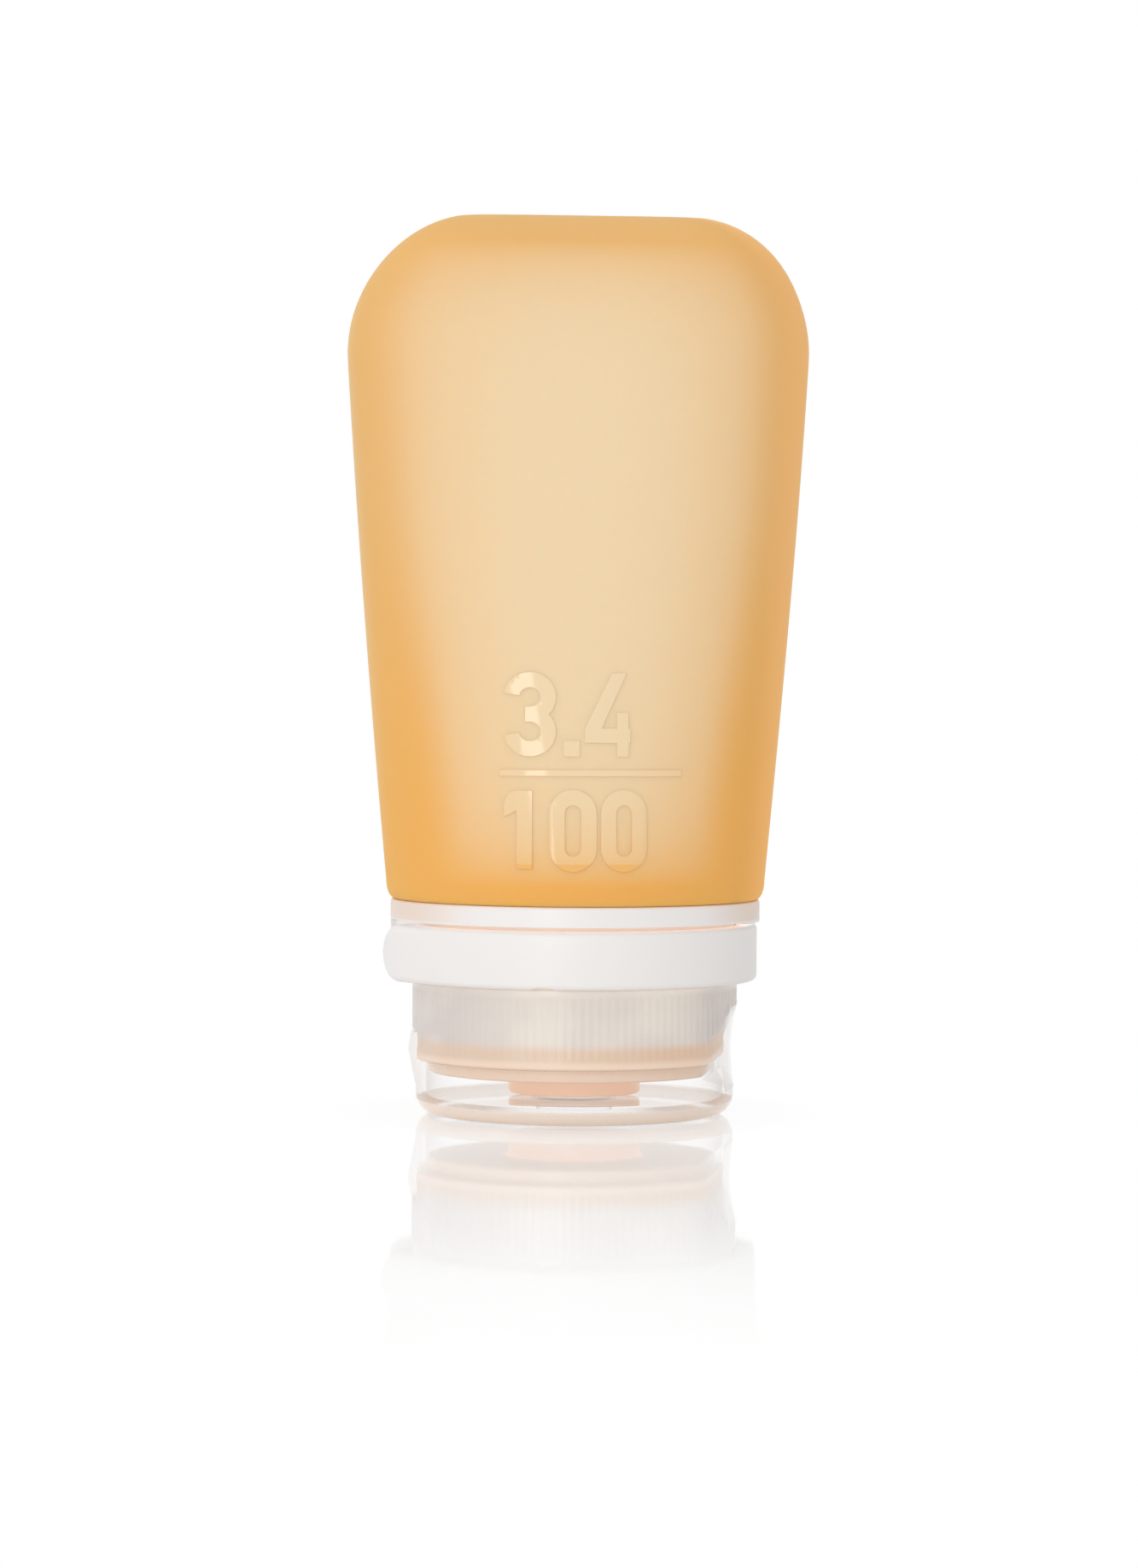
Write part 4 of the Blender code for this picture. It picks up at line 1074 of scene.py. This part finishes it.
cavity = lid_radius - lid_wall
lid = turned("clear_lid", [
    (0, lid_plate + lid_boss_height),
    (lid_boss_radius, lid_plate + lid_boss_height, lid_fine_fillet),
    (lid_boss_radius, lid_plate, lid_fine_fillet), (cavity, lid_plate, lid_floor_fillet),
    (cavity, lid_rim_z, lid_fine_fillet), (lid_radius, lid_rim_z, lid_fine_fillet),
    (lid_radius, lid_base_z, lid_edge_fillet), (0, lid_base_z)], 192, closed=False)
hinge_slope_z = lid_rim_z - hinge_flat_below
hinge_drop = (cut_reach - hinge_reach) / math.tan(hinge_slope_below)
inner_reach = hinge_reach - hinge_film_wall
block = prism("lid_hinge_block", [
    (inner_reach, lid_rim_z), (cut_reach, lid_rim_z), (cut_reach, hinge_slope_z - hinge_drop),
    (inner_reach, hinge_slope_z - hinge_film_wall / 2)], hinge_angle, cut_half_width)
combine(block, post("lid_core", Vector((0, 0, 0)), lid_radius - lid_wall / 2, lid_plate / 2,
                    lid_rim_z), "INTERSECT")
combine(lid, block, "UNION")
combine(lid, prism("lid_hinge_recess", [
    (hinge_reach, lid_rim_z + overrun), (cut_reach, lid_rim_z + overrun),
    (cut_reach, hinge_slope_z - hinge_drop), (hinge_reach, hinge_slope_z)],
    hinge_angle, cut_half_width))
tab_top_z = lid_rim_z + tab_lift
combine(lid, sector("thumb_tab", [
    (tab_inner_radius, tab_top_z),
    (tab_inner_radius + tab_thickness * 2 / 3, tab_top_z, tab_top_fillet),
    (tab_inner_radius + tab_thickness, lid_rim_z + tab_lift / 3, tab_lift),
    (lid_radius - hair, lid_rim_z - tab_drop), (tab_inner_radius, lid_rim_z - tab_drop)],
    tab_angle - tab_half_angle, tab_angle + tab_half_angle), "UNION")
clear = clear_plastic()
dress(lid, clear)
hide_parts("flip_lid")
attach(lid, "lid")

# Hinge strap
# The thin springy strip moulded between cap and lid across the film hinge. It is a hair bowed
# inwards, and it stretches over the hinge so that the lid snaps open or shut.
spring_width = 0.0080
spring_thickness = 0.00025
spring_bow = -0.0006
spring_inset = 0.0004
spring_rows = 40
spring_columns = 16

spring_top_z = (cap_rim_z + hinge_flat_above
                + (cap_radius - hinge_reach) / math.tan(hinge_slope_above))
spring_low_z = hinge_slope_z - (lid_radius - hinge_reach) / math.tan(hinge_slope_below)
outward = around(1, hinge_angle, 0)
sideways = Vector((-outward.y, outward.x, 0))
rings = []
for step in range(spring_rows + 1):
    share = step / spring_rows
    bow = spring_bow * 4 * share * (1 - share)
    reach = lid_radius + (cap_radius - lid_radius) * share + bow - spring_inset
    half = spring_width / 2 * (1 - 0.12 * math.sin(math.pi * share))
    z = spring_low_z + (spring_top_z - spring_low_z) * share
    inner = [outward * reach + sideways * half * (2 * column / spring_columns - 1)
             + Vector((0, 0, z)) for column in range(spring_columns + 1)]
    outer = [point + outward * spring_thickness for point in reversed(inner)]
    rings.append(inner + outer)
spring = dress(lofted("spring_strap", rings), clear)
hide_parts("hinge_strap")
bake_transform(spring)

# Table, daylight and camera
# A glossy white table top that mirrors the foot of the bottle, a white surround that is dimmer on
# the right, one tall softbox at the front left, and the camera near half the bottle's height.
table_size = 6.0
table_drop = 0.00005
table_gray = (0.92, 0.92, 0.92)
white_light = (1.0, 1.0, 1.0)
mirror_share = 0.50
mirror_near = 0.060
mirror_far = 0.185
shadow_share = 0.12
shadow_reach = 0.034
shadow_core = 0.020
surround_level = 0.83
surround_fall_right = 0.28
softbox_angle = math.radians(-21.0)
softbox_height = 0.14
softbox_distance = 1.0
softbox_size = (0.19, 0.62)
softbox_power = 2.6
softbox_aim = Vector((0, 0, 0.06))
camera_distance = 0.490
camera_angle = math.radians(-5)
camera_height = 0.050
camera_lens = 96.08
camera_clip = 0.01
horizon_drop = math.radians(1.35)
aim_shift = 0.00079
camera_roll = math.radians(0.30)


def seen_directly(finish):
    """1 for what the camera, a mirror or clear plastic looks at, and 0 for spread light."""
    camera, mirror, clear_wall = [
        finish.node("ShaderNodeLightPath", output=f"Is {ray} Ray")
        for ray in ("Camera", "Glossy", "Transmission")]
    return camera.at_least(mirror).at_least(clear_wall)


bm = bmesh.new()
bmesh.ops.create_grid(bm, x_segments=1, y_segments=1, size=table_size / 2)
bmesh.ops.translate(bm, verts=bm.verts, vec=(0, 0, -table_drop))
table = solid("table_top", bm)
finish = Finish("white_table")
x, y, z = finish.axes()
spread = (x * x + y * y) ** 0.5
near = finish.ramp(spread, mirror_far, mirror_near)
under = finish.ramp(spread, shadow_reach, shadow_core)
finish.paint(Base_Color=table_gray, Roughness=0.6, Specular_IOR_Level=0.0)
glow = finish.node("ShaderNodeEmission", inputs={"Color": white_light, "Strength": 1.0})
mirror = finish.node("ShaderNodeBsdfGlossy", inputs={"Color": white_light, "Roughness": 0.04})
matt = Reading(finish, finish.shader.outputs[0])
lit = finish.node("ShaderNodeMixShader", inputs={0: shadow_share * under, 1: glow, 2: matt})
shown = finish.node("ShaderNodeMixShader", inputs={0: mirror_share * near, 1: lit, 2: mirror})
table_top = finish.node("ShaderNodeMixShader",
                        inputs={0: seen_directly(finish), 1: matt, 2: shown})
finish.plug(finish.tree.nodes["Material Output"].inputs["Surface"], table_top)
table.data.materials.append(finish.owner)

sky = Finish("daylight", bpy.data.worlds, "Background")
bpy.context.scene.world = sky.owner
direction = sky.node("ShaderNodeTexCoord", output="Generated")
to_right = sky.node("ShaderNodeSeparateXYZ", inputs={0: direction})
dimmed = sky.node("ShaderNodeMapRange",
                  inputs={"Value": to_right, "To Min": surround_level,
                          "To Max": surround_level - surround_fall_right})
level = sky.node("ShaderNodeMapRange",
                 inputs={"Value": seen_directly(sky), "To Min": dimmed})
sky.paint(Color=white_light, Strength=level)

lamp = bpy.data.lights.new("softbox", "AREA")
lamp.shape = "RECTANGLE"
lamp.size, lamp.size_y = softbox_size
lamp.energy = softbox_power
softbox = added("softbox", lamp)
softbox.location = around(softbox_distance, softbox_angle, softbox_height)
toward = softbox_aim - softbox.location
softbox.rotation_euler = toward.to_track_quat("-Z", "Y").to_euler()

camera_data = bpy.data.cameras.new("camera")
camera_data.lens = camera_lens
camera_data.clip_start = camera_clip
camera = added("camera", camera_data)
camera.location = around(camera_distance, camera_angle, camera_height)
image_right = Vector((math.cos(camera_angle), math.sin(camera_angle), 0))
aim = Vector((0, 0, camera_height - camera_distance * math.tan(horizon_drop)))
aim -= image_right * aim_shift
facing = (aim - camera.location).to_track_quat("-Z", "Y")
camera.rotation_euler = (facing @ Quaternion((0, 0, 1), camera_roll)).to_euler()
bpy.context.scene.camera = camera
bpy.context.scene.view_settings.view_transform = "Standard"
